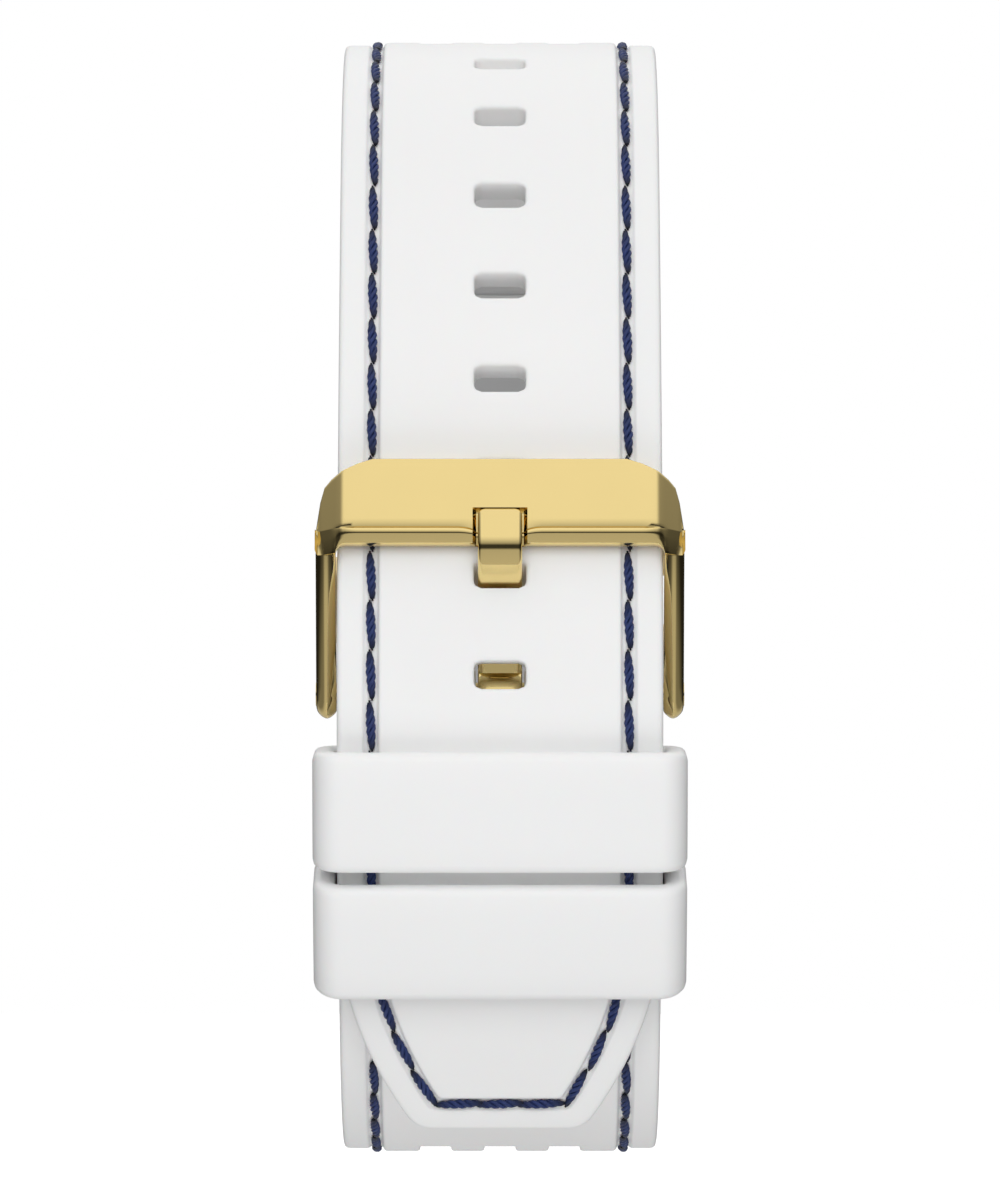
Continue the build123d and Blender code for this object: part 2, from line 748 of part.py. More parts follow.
window_width, window_length = case_width - bezel_border * 2, case_length - bezel_end_border * 2
with BuildPart() as bezel:
    add(slab(case_width, case_length, case_corner, bezel_y, case_front_y))
    fillet(bezel.faces().sort_by(Axis.Y)[-1].edges(), radius=bezel_round)
    add(slab(window_width, window_length, bezel_corner, bezel_y + bezel_ledge, case_front_y + 1),
        mode=Mode.SUBTRACT)
    add(slab(window_width - crystal_rim, window_length - crystal_rim, bezel_corner - crystal_rim / 2,
             bezel_y - 1, case_front_y), mode=Mode.SUBTRACT)
save(bezel, "bezel")

crystal_front = case_front_y - running_fit
crystal_back = crystal_front - crystal_thickness
with BuildPart() as crystal:
    add(slab(window_width - clearance, window_length - clearance, bezel_corner, crystal_back,
             crystal_front))
    chamfer(crystal.faces().sort_by(Axis.Y)[-1].edges(), length=crystal_bevel)
save(crystal, "crystal")

with BuildPart() as crystal_gasket:
    add(slab(window_width - clearance, window_length - clearance, bezel_corner,
             bezel_y + bezel_ledge, crystal_back))
    add(slab(window_width - crystal_rim, window_length - crystal_rim, bezel_corner - crystal_rim / 2,
             bezel_y, case_front_y), mode=Mode.SUBTRACT)
save(crystal_gasket, "crystal_gasket")

# ---------------------------------------------------------------- works inside the case
display_back = bezel_y - clearance - display_thickness
web_front = display_back - running_fit
board_front = board_y + board_thickness
frame_back = board_front + running_fit
frame_width, frame_length = cavity_width - clearance * 2, cavity_length - clearance * 2
board_width = (stem_end - button_travel - clearance) * 2
board_length = (screw_z - clearance) * 2 - screw_radius * 4
flex_z = clearance * 2 - board_length / 2

with BuildPart() as display_panel:
    add(slab(window_width - crystal_rim + display_overlap, window_length - crystal_rim
             + display_overlap, 1.0, display_back, display_back + display_thickness))
save(display_panel, "display_panel")

with BuildPart() as display_frame:
    add(slab(frame_width, frame_length, cavity_corner - clearance, frame_back, web_front))
    add(slab(frame_width - frame_rim * 2, frame_length - frame_rim * 2, 0.8, frame_back - 1,
             web_front - frame_web), mode=Mode.SUBTRACT)
    add(slab(antenna_width + clearance * 4, antenna_length + clearance * 4, 0.5, frame_back,
             web_front + 1, (0, antenna_z)), mode=Mode.SUBTRACT)
    add(slab(flex_width + clearance * 4, flex_thickness + clearance * 4, 0.2, frame_back,
             web_front + 1, (0, flex_z)), mode=Mode.SUBTRACT)
save(display_frame, "display_frame")

with BuildPart() as display_flex:
    add(slab(flex_width, flex_thickness, 0.05, board_front, display_back, (0, flex_z)))
save(display_flex, "display_flex")

with BuildPart() as main_board:
    add(slab(board_width, board_length, 1.0, board_y, board_front))
save(main_board, "main_board")

with BuildPart() as board_chips:
    for width, length, x, below in chips:
        add(slab(width, length, 0.2, board_front, board_front + chip_height,
                 (x, antenna_z - below)))
save(board_chips, "board_chips")

with BuildPart() as gps_antenna:
    add(slab(antenna_width, antenna_length, 0.3, board_front, board_front + antenna_thickness,
             (0, antenna_z)))
save(gps_antenna, "gps_antenna")

with BuildPart() as battery:
    add(slab(battery_width, battery_length, 1.5, board_y - clearance - battery_thickness,
             board_y - clearance, (0, battery_z)))
save(battery, "battery")

with BuildPart() as vibration_motor:
    add(post(motor_radius, board_y - motor_thickness, board_y, (0, motor_z)))
save(vibration_motor, "vibration_motor")

# ---------------------------------------------------------------- buttons
with BuildPart() as button_switches:
    for name, side, z in buttons:
        face = stem_end - button_travel - running_fit
        add(slab(switch_depth, switch_length, 0.2, button_y - switch_height / 2, board_y,
                 (side * (face - switch_depth / 2), z)))
save(button_switches, "button_switches")

with BuildPart() as button_seals:
    for name, side, z in buttons:
        middle = button_stem_radius + seal_wire_radius + running_fit / 2
        with BuildSketch(Plane(origin=(side * seal_x, button_y + middle, z), x_dir=(1, 0, 0),
                               z_dir=(0, 0, 1))):
            Circle(seal_wire_radius)
        revolve(axis=Axis((0, button_y, z), (1, 0, 0)))
save(button_seals, "button_seals")

for name, side, z in buttons:
    at = Vector(button_y, z)
    with BuildPart() as button:
        with BuildSketch(Plane.YZ.offset(side * cap_under)):
            with Locations((at.X, at.Y)):
                SlotOverall(button_length, button_depth, rotation=90)
        extrude(amount=side * button_cap)
        fillet(button.faces().sort_by(Axis.X)[-1 if side > 0 else 0].edges(), radius=button_round)
        spring_top = side * (cap_under + button_spring_recess)
        add(rod(button_stem_radius + button_spring_room, side * cap_under, spring_top, at),
            mode=Mode.SUBTRACT)
        add(rod(button_stem_radius, side * stem_end, spring_top, at))
    save(button, name + "_button")

    with BuildPart() as button_clip:
        start = side * (stem_end + clearance)
        end = start + side * clip_thickness
        add(rod(clip_radius, start, end, at))
        add(rod(button_stem_radius, start - side, end + side, at), mode=Mode.SUBTRACT)
    save(button_clip, name + "_button_clip")

    with BuildPart() as button_spring:
        add(coil(button_stem_radius + button_spring_room / 2, spring_wire_radius,
                 side * (pocket_x - button_spring_seat), spring_top, button_spring_turns, at))
    save(button_spring, name + "_button_spring")
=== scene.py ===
from math import asin, atan2, ceil, copysign, cos, degrees, hypot, pi, radians, sin, sqrt

import bmesh
import bpy
from mathutils import Matrix, Vector


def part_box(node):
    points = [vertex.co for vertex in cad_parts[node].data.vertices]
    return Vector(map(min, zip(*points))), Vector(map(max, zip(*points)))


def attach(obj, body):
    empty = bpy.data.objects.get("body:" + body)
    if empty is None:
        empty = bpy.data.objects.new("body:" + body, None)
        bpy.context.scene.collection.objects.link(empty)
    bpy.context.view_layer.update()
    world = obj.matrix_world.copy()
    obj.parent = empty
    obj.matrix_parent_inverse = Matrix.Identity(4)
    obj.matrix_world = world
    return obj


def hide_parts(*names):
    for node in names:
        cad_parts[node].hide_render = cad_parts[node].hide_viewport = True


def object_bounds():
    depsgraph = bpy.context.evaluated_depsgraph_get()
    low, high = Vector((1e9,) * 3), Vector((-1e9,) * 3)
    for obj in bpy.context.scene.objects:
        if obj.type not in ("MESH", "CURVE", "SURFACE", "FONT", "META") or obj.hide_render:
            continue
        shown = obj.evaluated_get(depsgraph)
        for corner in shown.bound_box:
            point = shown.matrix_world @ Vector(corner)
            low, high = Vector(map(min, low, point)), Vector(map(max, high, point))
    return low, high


# A closed golf watch: white silicone strap, blue stitching, gold buckle.
# Lengths are worked in millimetres and become metres when a mesh is made.
# On a strap half, a place is (across, along, out): out is measured from its outer face.

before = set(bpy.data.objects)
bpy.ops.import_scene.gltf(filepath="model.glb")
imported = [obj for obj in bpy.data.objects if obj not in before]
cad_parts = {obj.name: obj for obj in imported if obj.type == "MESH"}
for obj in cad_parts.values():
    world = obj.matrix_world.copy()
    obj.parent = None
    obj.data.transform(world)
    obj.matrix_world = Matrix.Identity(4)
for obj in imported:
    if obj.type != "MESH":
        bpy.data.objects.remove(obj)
cad_low, cad_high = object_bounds()

MM = 0.001
HULL_STEP = 5  # degrees

# ---------------------------------------------------------------- sizes of the strap, mm
HALF_STRAP = 11.0
STRAP_THICKNESS = 2.5
EDGE_DROP = 0.2
CHANNEL_MIDDLE = 2.3  # from the side of the strap
BAND_EDGE = 3.1  # where the middle of the strap begins
FRONT_Z, FRONT_RADIUS, FLANK_RADIUS, CROWN_RADIUS = -8.2, 41.3, 164.0, 20.4
TAIL_RADIUS, TAIL_START, TAIL_END = 100.0, 27.0, 33.4
FLANK_START, FLANK_END = 17.2, 26.4
SHORT_CORNER_RADIUS, SHORT_CORNER_START, SHORT_DROP = 21.0, 34.0, 2.65
TAPER, TIP_INSET, TIP_CORNER = 17.0, 5.25, 1.1
SLOT_HALF_WIDTH, SLOT_HALF_HEIGHT, SLOT_CORNER = 1.75, 0.95, 0.5
FIRST_SLOT, SLOT_PITCH, SLOT_COUNT, TANG_SLOT = 33.8, 7.0, 8, 1
PATCH_WIDTH, PATCH_HEIGHT = 2.7, 1.7  # half sizes of the strap remade around a slot
GROOVE_PITCH, GROOVE_DEPTH, GROOVE_STOP = 4.55, 0.5, 4.5
GROOVE_RAMP, GROOVE_FADE = 2.0, 0.35
LONG_GROOVES, SHORT_GROOVES = 30.0, 34.0  # where they start, from the lug end
LUG_SHOULDER, TONGUE_HALF, KNUCKLE_RADIUS = 2.3, 9.05, 1.95
LIP_ROOT, LIP_REACH, LIP_ROUND, LIP_HALF = 1.5, 2.69, 0.8, 8.9  # lip that closes the gap to the case
BUCKLE_KNUCKLE_RADIUS, BUCKLE_BAR_OUT, NOTCH_HALF, NOTCH_LENGTH = 1.7, -1.75, 1.65, 2.2
STITCH_PITCH, STITCH_LENGTH, STITCH_OUT = 3.4, 3.1, -0.2
STITCH_LEAN, TIP_STITCHES = 3.0, 3  # degrees; stitches across the tip
WALK_STEP = 0.05  # along the channel, to space the stitches

# buckle and keepers
PLATE_LOW_Z, PLATE_HIGH_Z, PLATE_HALF, PLATE_GAP, PLATE_FACE = 3.45, 9.05, 12.5, 0.2, 1.8
PLATE_CORNER = ((8.6, 0.0), (9.6, 0.33), (10.7, 0.85), (11.4, 1.32), (11.87, 1.8), (12.15, 2.8),
                (12.5, 5.2))  # (across, drop of its top)
PLATE_SIDE = ((10.2, 0.0), (10.45, 0.02), (10.7, 0.09), (11.0, 0.27), (12.2, 1.1), (12.5, 1.4))
ARM_FILLET = 0.6
SEAT_DEPTH, SEAT_LENGTH, SEAT_HALF = 0.6, 2.35, 1.65
ARM_INNER, ARM_EYE, ARM_END = 11.1, 1.65, 0.8
ARM_SINK, ARM_DROP = 1.25, 0.3  # its top circle below the plate's face and its lower edge
ARM_SECTIONS = ((0.0, 0.5), (0.05, 0.4), (0.15, 0.28), (0.28, 0.17), (0.42, 0.07), (0.55, 0.015),
                (0.65, 0.0), (0.78, 0.03), (0.92, 0.1), (1.06, 0.21), (1.19, 0.35), (1.29, 0.5),
                (1.33, 0.63), (1.36, 0.75))  # (from its inner side, inset of its outline)
TANG_HALF_WIDTH, TANG_THICKNESS, TANG_EYE = 1.5, 1.0, 1.6
LOW_BEND, TOP_BEND = 1.1, 0.9  # room that each bend of the tang takes on either side
TANG_TIP_Z, TANG_TIP_OUT, TANG_BEND_Z, TANG_BEND_OUT, TANG_REACH = 5.1, 1.75, 2.8, 1.9, 5.8
KEEPER_WALL, KEEPER_HALF, KEEPER_ROOM, KEEPER_DEPTH = 1.5, 11.15, 41.45, 5.45


# ---------------------------------------------------------------- the strap's two routes
def heading(angle):
    """Unit vector at an angle, as (y, z)."""
    return Vector((cos(radians(angle)), sin(radians(angle))))


def middle_of(node):
    """Middle of a CAD node as (y, z), in millimetres."""
    low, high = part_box(node)
    middle = (low + high) / 2 / MM
    return Vector((middle.y, middle.z))


def closing_radius(peak, bar, half):
    """Radius of the arc that leaves a peak level and brings the middle of the strap to a bar."""
    run, rise = bar.x - peak.x, abs(bar.y - peak.y)
    return (run**2 + rise**2 - half**2) / (2 * (rise - half))


class Route:
    """Outer face of a strap half: arcs that run on into each other."""

    def __init__(self, centre, radii, angles):
        self.arcs = []
        self.length = 0.0
        self.turn = 1 if angles[1] > angles[0] else -1
        for index, radius in enumerate(radii):
            first, last = angles[index], angles[index + 1]
            start = self.length
            self.length += radius * radians(abs(last - first))
            self.arcs.append((centre, radius, first, start, self.length))
            if index + 1 < len(radii):
                centre = centre + heading(last) * (radius - radii[index + 1])

    def _at(self, along):
        inside = min(max(along, 0.0), self.length)
        arc = next((arc for arc in self.arcs if inside <= arc[4]), self.arcs[-1])
        centre, radius, first, start, _ = arc
        out = heading(first + self.turn * degrees((inside - start) / radius))
        onward = Vector((-out.y, out.x)) * self.turn
        return centre + out * radius + onward * (along - inside), out, onward

    def place(self, across, along, out):
        """Point in space; past either end the strap runs on straight."""
        point, outward, _ = self._at(along)
        point = point + outward * out
        return Vector((across, point.x, point.y))

    def outward(self, along):
        out = self._at(along)[1]
        return Vector((0, out.x, out.y))

    def distance_at(self, z, far):
        """Distance at which the outer face rises to a height."""
        near = 0.0
        for _ in range(40):
            middle = (near + far) / 2
            if self._at(middle)[0].y < z:
                near = middle
            else:
                far = middle
        return near


upper_bar, lower_bar = middle_of("upper_bar_tube"), middle_of("lower_bar_tube")
buckle_bar = middle_of("buckle_bar")
front_centre = Vector((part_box("long_strap")[0].y / MM + FRONT_RADIUS, FRONT_Z))

tail_centre = front_centre + heading(180 + TAIL_START) * (FRONT_RADIUS - TAIL_RADIUS)
long_angles = [180 + TAIL_END, 180 + TAIL_START, 180 - FLANK_START, 180 - FLANK_END, 90]
long_radii = [TAIL_RADIUS, FRONT_RADIUS, FLANK_RADIUS, CROWN_RADIUS]
crown_centre = Route(tail_centre, long_radii, long_angles).arcs[-1][0]
crown_peak = crown_centre + heading(90) * CROWN_RADIUS
upper_rear = closing_radius(crown_peak, upper_bar, STRAP_THICKNESS / 2)
upper_lug = upper_bar - (crown_peak - heading(90) * upper_rear)
LONG = Route(tail_centre, long_radii + [upper_rear],
             long_angles + [degrees(atan2(upper_lug.y, upper_lug.x))])

bar_angle = 180 - degrees(asin((buckle_bar.y - FRONT_Z) / (buckle_bar - front_centre).length))
short_corner = 180 + SHORT_CORNER_START
short_front = FRONT_RADIUS - SHORT_DROP
foot = front_centre + heading(short_corner) * (short_front - SHORT_CORNER_RADIUS)
foot = foot + heading(270) * SHORT_CORNER_RADIUS
lower_rear = closing_radius(foot, lower_bar, STRAP_THICKNESS / 2)
lower_lug = lower_bar - (foot + heading(90) * lower_rear)
SHORT = Route(front_centre, [short_front, SHORT_CORNER_RADIUS, lower_rear],
              [bar_angle, short_corner, 270, degrees(atan2(lower_lug.y, lower_lug.x)) + 360])


# ---------------------------------------------------------------- making meshes
class Shell:
    """Points and faces of one piece, gathered in millimetres."""

    def __init__(self):
        self.points = []
        self.faces = []
        # the second material is the darker slot silicone: painted shade on the walls inside the slots
        self.second = set()  # faces in the second material

    def grid(self, rows, hole=None, wrap=False):
        """Quads between rows of points; hole(row, column) leaves one out; wrap closes each row."""
        first, width = len(self.points), len(rows[0])
        for row in rows:
            self.points.extend(row)
        for j in range(len(rows) - 1):
            for i in range(width if wrap else width - 1):
                if hole and hole(j, i):
                    continue
                a, b = first + j * width + i, first + j * width + (i + 1) % width
                self.faces.append((a, b, b + width, a + width))

    def face(self, points):
        first = len(self.points)
        self.points.extend(points)
        self.faces.append(tuple(range(first, first + len(points))))

    def tube(self, rows):
        """Closed rows of points, one after another, with both ends filled."""
        self.grid(rows, wrap=True)
        self.face(rows[0])
        self.face(rows[-1])

    def piece(self, name, material, sharp=42.0):
        """The finished object, with its place in its mesh."""
        mesh = bpy.data.meshes.new(name)
        work = bmesh.new()
        corners = [work.verts.new(point * MM) for point in self.points]
        for number, face in enumerate(self.faces):
            made = work.faces.new([corners[index] for index in face])
            made.material_index = 1 if number in self.second else 0
        bmesh.ops.remove_doubles(work, verts=work.verts, dist=2e-7)
        bmesh.ops.recalc_face_normals(work, faces=work.faces)
        for face in work.faces:
            face.smooth = True
        for edge in work.edges:
            edge.smooth = edge.calc_face_angle(0) < radians(sharp)
        work.to_mesh(mesh)
        work.free()
        return placed(name, mesh, material)


def linked(name, data):
    """Object in the scene that holds a mesh, a text, a lamp or a camera."""
    thing = bpy.data.objects.new(name, data)
    bpy.context.scene.collection.objects.link(thing)
    return thing


def placed(name, mesh, material):
    """Object whose mesh has one material."""
    mesh.materials.clear()
    mesh.materials.append(material)
    return linked(name, mesh)


def plain(carrier):
    """Mesh that an object comes to once its modifiers or letters are worked out."""
    graph = bpy.context.evaluated_depsgraph_get()
    mesh = bpy.data.meshes.new_from_object(carrier.evaluated_get(graph))
    bpy.data.objects.remove(carrier)
    return mesh


def mirrored(values):
    """Values from zero up, with their negatives before them."""
    return [-value for value in reversed(values) if value] + list(values)


def steps(start, stop, pitch):
    """Evenly spaced values from start to stop, about a pitch apart."""
    count = max(1, ceil((stop - start) / pitch))
    return [start + (stop - start) * index / count for index in range(count + 1)]


def between(table, value):
    """Straight lines between (input, output) pairs, level outside them."""
    if value <= table[0][0]:
        return table[0][1]
    for (low, first), (high, last) in zip(table, table[1:]):
        if value <= high:
            return first + (last - first) * (value - low) / (high - low)
    return table[-1][1]


def smooth_hull(circles, inset):
    """Outline around circles, moved inward, with the same number of points at every inset."""
    rays = [heading(HULL_STEP * index) for index in range(360 // HULL_STEP)]
    reaches = [max(middle.dot(ray) + radius - inset for middle, radius in circles) for ray in rays]
    outline = []
    for index, ray in enumerate(rays):
        after = (index + 1) % len(rays)
        reach, next_ray, next_reach = reaches[index], rays[after], reaches[after]
        cross = ray.x * next_ray.y - ray.y * next_ray.x
        y = (reach * next_ray.y - next_reach * ray.y) / cross
        z = (ray.x * next_reach - next_ray.x * reach) / cross
        outline.append(Vector((y, z)))
    return outline


# ---------------------------------------------------------------- shader and node helpers
def fill(tree, node, inputs):
    """Sets a node's inputs by name or number, from values, sockets or worked-out numbers."""
    for name, value in inputs.items():
        socket = node.inputs[name]
        if isinstance(value, Number):
            value = value.socket
        if isinstance(value, bpy.types.NodeSocket):
            tree.links.new(value, socket)
        else:
            socket.default_value = value


def add_node(tree, kind, inputs=None, **settings):
    """One node: its settings first, then its inputs."""
    node = tree.nodes.new(kind)
    for name, value in settings.items():
        setattr(node, name, value)
    fill(tree, node, inputs or {})
    return node


class Number:
    """A number worked out in a node tree; arithmetic on it adds Math nodes."""

    def __init__(self, tree, socket):
        self.tree = tree
        self.socket = socket

    def math(self, operation, first, second=0.0):
        node = add_node(self.tree, "ShaderNodeMath", {0: first, 1: second}, operation=operation)
        return Number(self.tree, node.outputs[0])

    def __add__(self, other):
        return self.math("ADD", self, other)

    def __radd__(self, other):
        return self.math("ADD", other, self)

    def __mul__(self, other):
        return self.math("MULTIPLY", self, other)

    def __rmul__(self, other):
        return self.math("MULTIPLY", other, self)

    def __pow__(self, other):
        return self.math("POWER", self, other)

    def above(self, other):
        return self.math("GREATER_THAN", self, other)

    def sine(self):
        return self.math("SINE", self)


class Finish:
    """One material: a Principled BSDF and what feeds it."""

    def __init__(self, name, **sockets):
        self.material = bpy.data.materials.new(name)
        self.material.use_nodes = True
        self.tree = self.material.node_tree
        self.shader = self.tree.nodes["Principled BSDF"]
        self.coordinates = self.add("ShaderNodeTexCoord").outputs["Object"]
        self.set(**sockets)

    def add(self, kind, inputs=None, **settings):
        return add_node(self.tree, kind, inputs, **settings)

    def set(self, **sockets):
        """Sets shader inputs; a two-word input is written with an underscore."""
        named = {name.replace("_", " "): value for name, value in sockets.items()}
        fill(self.tree, self.shader, named)

    def stretched(self, x, y, z):
        """Object coordinates scaled along each axis."""
        mapping = self.add("ShaderNodeMapping", {"Vector": self.coordinates, "Scale": (x, y, z)})
        return mapping.outputs["Vector"]

    def noise(self, scale, detail=2.0, roughness=0.5, vector=None):
        inputs = {"Vector": vector or self.coordinates, "Scale": scale, "Detail": detail,
                  "Roughness": roughness}
        return Number(self.tree, self.add("ShaderNodeTexNoise", inputs).outputs["Fac"])

    def cells(self, scale):
        inputs = {"Vector": self.coordinates, "Scale": scale}
        return Number(self.tree, self.add("ShaderNodeTexVoronoi", inputs).outputs["Distance"])

    def mix(self, factor, first, second):
        """Colour between two colours."""
        node = self.add("ShaderNodeMix", data_type="RGBA")
        fill(self.tree, node, {0: factor, 6: first, 7: second})
        return node.outputs[2]

    def surface(self, pattern, dark, light, spread, smoothest):
        """Colour and roughness that both follow a pattern."""
        self.set(Base_Color=self.mix(pattern, tone(*dark), tone(*light)),
                 Roughness=pattern * spread + smoothest)

    def bump(self, height, strength, depth):
        """Relief of a given depth in metres."""
        node = self.add("ShaderNodeBump", {"Strength": strength, "Distance": depth, "Height": height})
        self.set(Normal=node.outputs["Normal"])


def tone(red, green, blue):
    """Colour for a socket."""
    return (red, green, blue, 1.0)


def deeper(colour, share):
    return tuple(channel * share for channel in colour)


# ---------------------------------------------------------------- materials
def silicone(name, colour, shade, roughness, grain):
    """Moulded silicone: very fine spark texture, soft light under the skin."""
    finish = Finish(name, Subsurface_Weight=0.06, Subsurface_Scale=0.002,
                    Specular_IOR_Level=0.35)
    cloud = finish.noise(90.0, 3.0)
    finish.surface(cloud, shade, colour, 0.08, roughness)
    finish.bump(finish.noise(5200.0, 2.0) * 0.6 + finish.cells(2600.0), grain, 0.00003)
    return finish.material


def waxed_thread():
    """Blue twisted thread: fine fibres along each ply, painted near black at the ends of each ply and on
    the links between stitches, as painted shade where the thread dives into the strap.
    """
    finish = Finish("waxed_thread", Specular_IOR_Level=0.45)
    run = finish.add("ShaderNodeAttribute", attribute_name="run").outputs["Fac"]
    run = Number(finish.tree, run)
    # near black towards each ply's ends and wherever no run is stored (the links): painted shade in the
    # stitch holes
    middle = (run * pi).sine() ** 0.8
    fibre = finish.noise(4200.0, 3.0, 0.7)
    body = finish.mix(fibre, tone(0.007, 0.014, 0.06), tone(0.035, 0.062, 0.22))
    finish.set(Base_Color=finish.mix(middle, tone(0.003, 0.004, 0.012), body),
               Roughness=fibre * 0.2 + 0.38)
    finish.bump(fibre, 0.6, 0.00006)
    return finish.material


def gold_plate(name, colour, roughness, streak, brushed=(0, 0, 0)):
    """Plated metal: a mirror with faint polishing marks, or satin where it is brushed."""
    finish = Finish(name, Metallic=1.0)
    haze = finish.noise(160.0, 3.0)
    finish.surface(haze, deeper(colour, 0.93), colour, 0.06, roughness)
    if any(brushed):
        finish.bump(finish.noise(1.0, 2.0, vector=finish.stretched(*brushed)), streak, 0.00002)
    else:
        finish.bump(finish.noise(700.0, 2.0), streak, 0.00001)
    return finish.material


def moulding(name, colour, roughness, grain, scale=2600.0):
    """Moulded plastic, rubber or resin with an eroded texture."""
    finish = Finish(name, Specular_IOR_Level=0.4)
    cloud = finish.noise(140.0, 3.0)
    finish.surface(cloud, deeper(colour, 0.9), colour, 0.1, roughness)
    finish.bump(finish.noise(scale, 3.0), grain, 0.00005)
    return finish.material


def crystal():
    """Mineral glass over the display, seen through, with a clean coat of reflections."""
    finish = Finish("crystal", Base_Color=tone(0.02, 0.025, 0.03), IOR=1.5, Coat_Weight=0.6)
    smear = finish.noise(60.0, 2.0)
    finish.set(Roughness=smear * 0.04 + 0.02, Alpha=smear * 0.02 + 0.16)
    return finish.material


def panel():
    """Black display with a faint grid of cells."""
    finish = Finish("panel", Specular_IOR_Level=0.5)
    grid = finish.cells(4200.0)
    finish.surface(grid, (0.004, 0.006, 0.007), (0.012, 0.016, 0.02), 0.1, 0.15)
    return finish.material


def lit(name, colour, strength):
    """Lit part of the display."""
    finish = Finish(name, Base_Color=tone(0.02, 0.02, 0.02), Roughness=0.4,
                    Emission_Strength=strength)
    glow = finish.noise(3000.0, 1.0)
    finish.set(Emission_Color=finish.mix(glow, tone(*deeper(colour, 0.85)), tone(*colour)))
    return finish.material


def solder_mask():
    """Green board with copper tracks under the mask."""
    finish = Finish("solder_mask", Coat_Weight=0.3)
    tracks = finish.cells(900.0).above(0.42)
    finish.surface(tracks, (0.01, 0.09, 0.045), (0.03, 0.16, 0.08), 0.1, 0.3)
    finish.bump(tracks, 0.3, 0.00003)
    return finish.material


def foil():
    """Crinkled foil of the battery pouch."""
    finish = Finish("foil", Metallic=0.9)
    crease = finish.noise(420.0, 4.0, 0.6)
    finish.surface(crease, (0.5, 0.51, 0.53), (0.75, 0.76, 0.78), 0.3, 0.25)
    finish.bump(crease, 0.5, 0.0002)
    return finish.material


GOLD = (0.88, 0.69, 0.30)
STRAP_WHITE = silicone("strap_silicone", (0.93, 0.93, 0.925), (0.90, 0.90, 0.90), 0.5, 0.10)
# Darker silicone for the walls inside the slots: painted shade, where the holes take less light
SLOT_PAINTED_SHADE = silicone("slot_silicone_painted_shade", (0.9, 0.9, 0.9), (0.87, 0.87, 0.87), 0.6, 0.10)
KEEPER_WHITE = silicone("keeper_silicone", (0.93, 0.93, 0.93), (0.91, 0.91, 0.91), 0.42, 0.05)
THREAD = waxed_thread()
POLISHED_GOLD = gold_plate("polished_gold", GOLD, 0.07, 0.03)
SATIN_GOLD = gold_plate("satin_gold", (0.83, 0.66, 0.36), 0.26, 0.25, (90, 90, 9000))
CASE_WHITE = moulding("case_white", (0.86, 0.86, 0.85), 0.42, 0.12)
BACK_GREY = moulding("back_grey", (0.62, 0.62, 0.625), 0.4, 0.12)
CRYSTAL = crystal()
PANEL = panel()
SEAL = moulding("seal_black", (0.03, 0.03, 0.03), 0.5, 0.1)
INNER = moulding("inner_black", (0.05, 0.05, 0.055), 0.5, 0.2)
RESIN = moulding("chip_resin", (0.03, 0.03, 0.033), 0.6, 0.25, 4000.0)
CERAMIC = moulding("antenna_ceramic", (0.62, 0.56, 0.45), 0.35, 0.1)
STEEL = gold_plate("machined_steel", (0.62, 0.62, 0.63), 0.22, 0.2, (9000, 90, 90))
CONTACT = gold_plate("contact_gold", (0.85, 0.66, 0.30), 0.12, 0.05)
BOARD = solder_mask()
FOIL = foil()
DIGIT_WHITE = lit("digit_white", (0.9, 0.95, 1.0), 1.2)
FAIRWAY_GREEN = lit("fairway_green", (0.10, 0.55, 0.16), 0.9)
FLAG_RED = lit("flag_red", (0.8, 0.06, 0.04), 1.0)


def finished(piece, body, slot, *nodes):
    """Puts a piece on its body, in place of CAD nodes; the slot argument is not used."""
    if nodes:
        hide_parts(*nodes)
    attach(piece, body)


# ---------------------------------------------------------------- strap halves
# border from the middle of the strap over its side to the back: (from the side, out)
BORDER = ((3.1, 0.0), (2.95, -0.02), (2.86, -0.07), (2.8, -0.16), (2.74, -0.28), (2.62, -0.36),
          (2.3, -0.38), (2.0, -0.37), (1.87, -0.33), (1.8, -0.27), (1.72, -0.215), (1.6, -0.2),
          (1.0, -0.2), (0.42, -0.2), (0.2, -0.24), (0.06, -0.35), (0.0, -0.55), (0.0, -1.3),
          (0.0, -2.05), (0.06, -2.28), (0.2, -2.43), (0.45, -2.5), (1.6, -2.5), (3.1, -2.5))
CHANNEL_SIDE = 1.65  # border points nearer the side than this belong to the edge
COLUMNS = mirrored((0, 0.5, 0.95, 1.05, 1.15, 1.3, 1.65, 1.9, 2.7, 3.25, 3.4, 3.5, 3.6, 4.55,
                    5.5, 5.6, 5.7, 5.85, 6.5, 7.2, 7.9))
BAND_HALF = HALF_STRAP - BAND_EDGE
GROOVE_SHAPE = ((0.95, 1.0), (1.05, 0.75), (1.15, 0.12), (1.3, 0.0))
SLOT_RINGS = ((0.35, 0.0), (0.13, -0.03), (0.03, -0.12), (0.0, -0.3), (0.0, -1.2), (0.0, -2.2),
              (0.1, -2.42), (0.3, -2.5))
# below these rim rings the slot walls take the darker silicone: painted shade
RIM_RINGS = 3  # rings of a slot's rim in the strap's own white
SLOT_ROWS = mirrored((0, 0.4, 0.8, 1.2, 1.7))
TIP_ROWS = [0.08, 0.2, 0.35, 0.55, 0.8, 1.1, 1.5, 2.1, 2.8]
ROW_PITCH, LARGEST_GAP = 0.9, 1.3
END_ROUNDING = ((0.0, 0.2), (0.06, 0.06), (0.2, 0.0))  # (from an end, inset)
WRAP_STEPS = 22
TANG_SLANT = -1.7  # the slot that the tang passes leans with it
TANG_SLOT_GROWTH = 0.2  # and is this much longer on the inner face


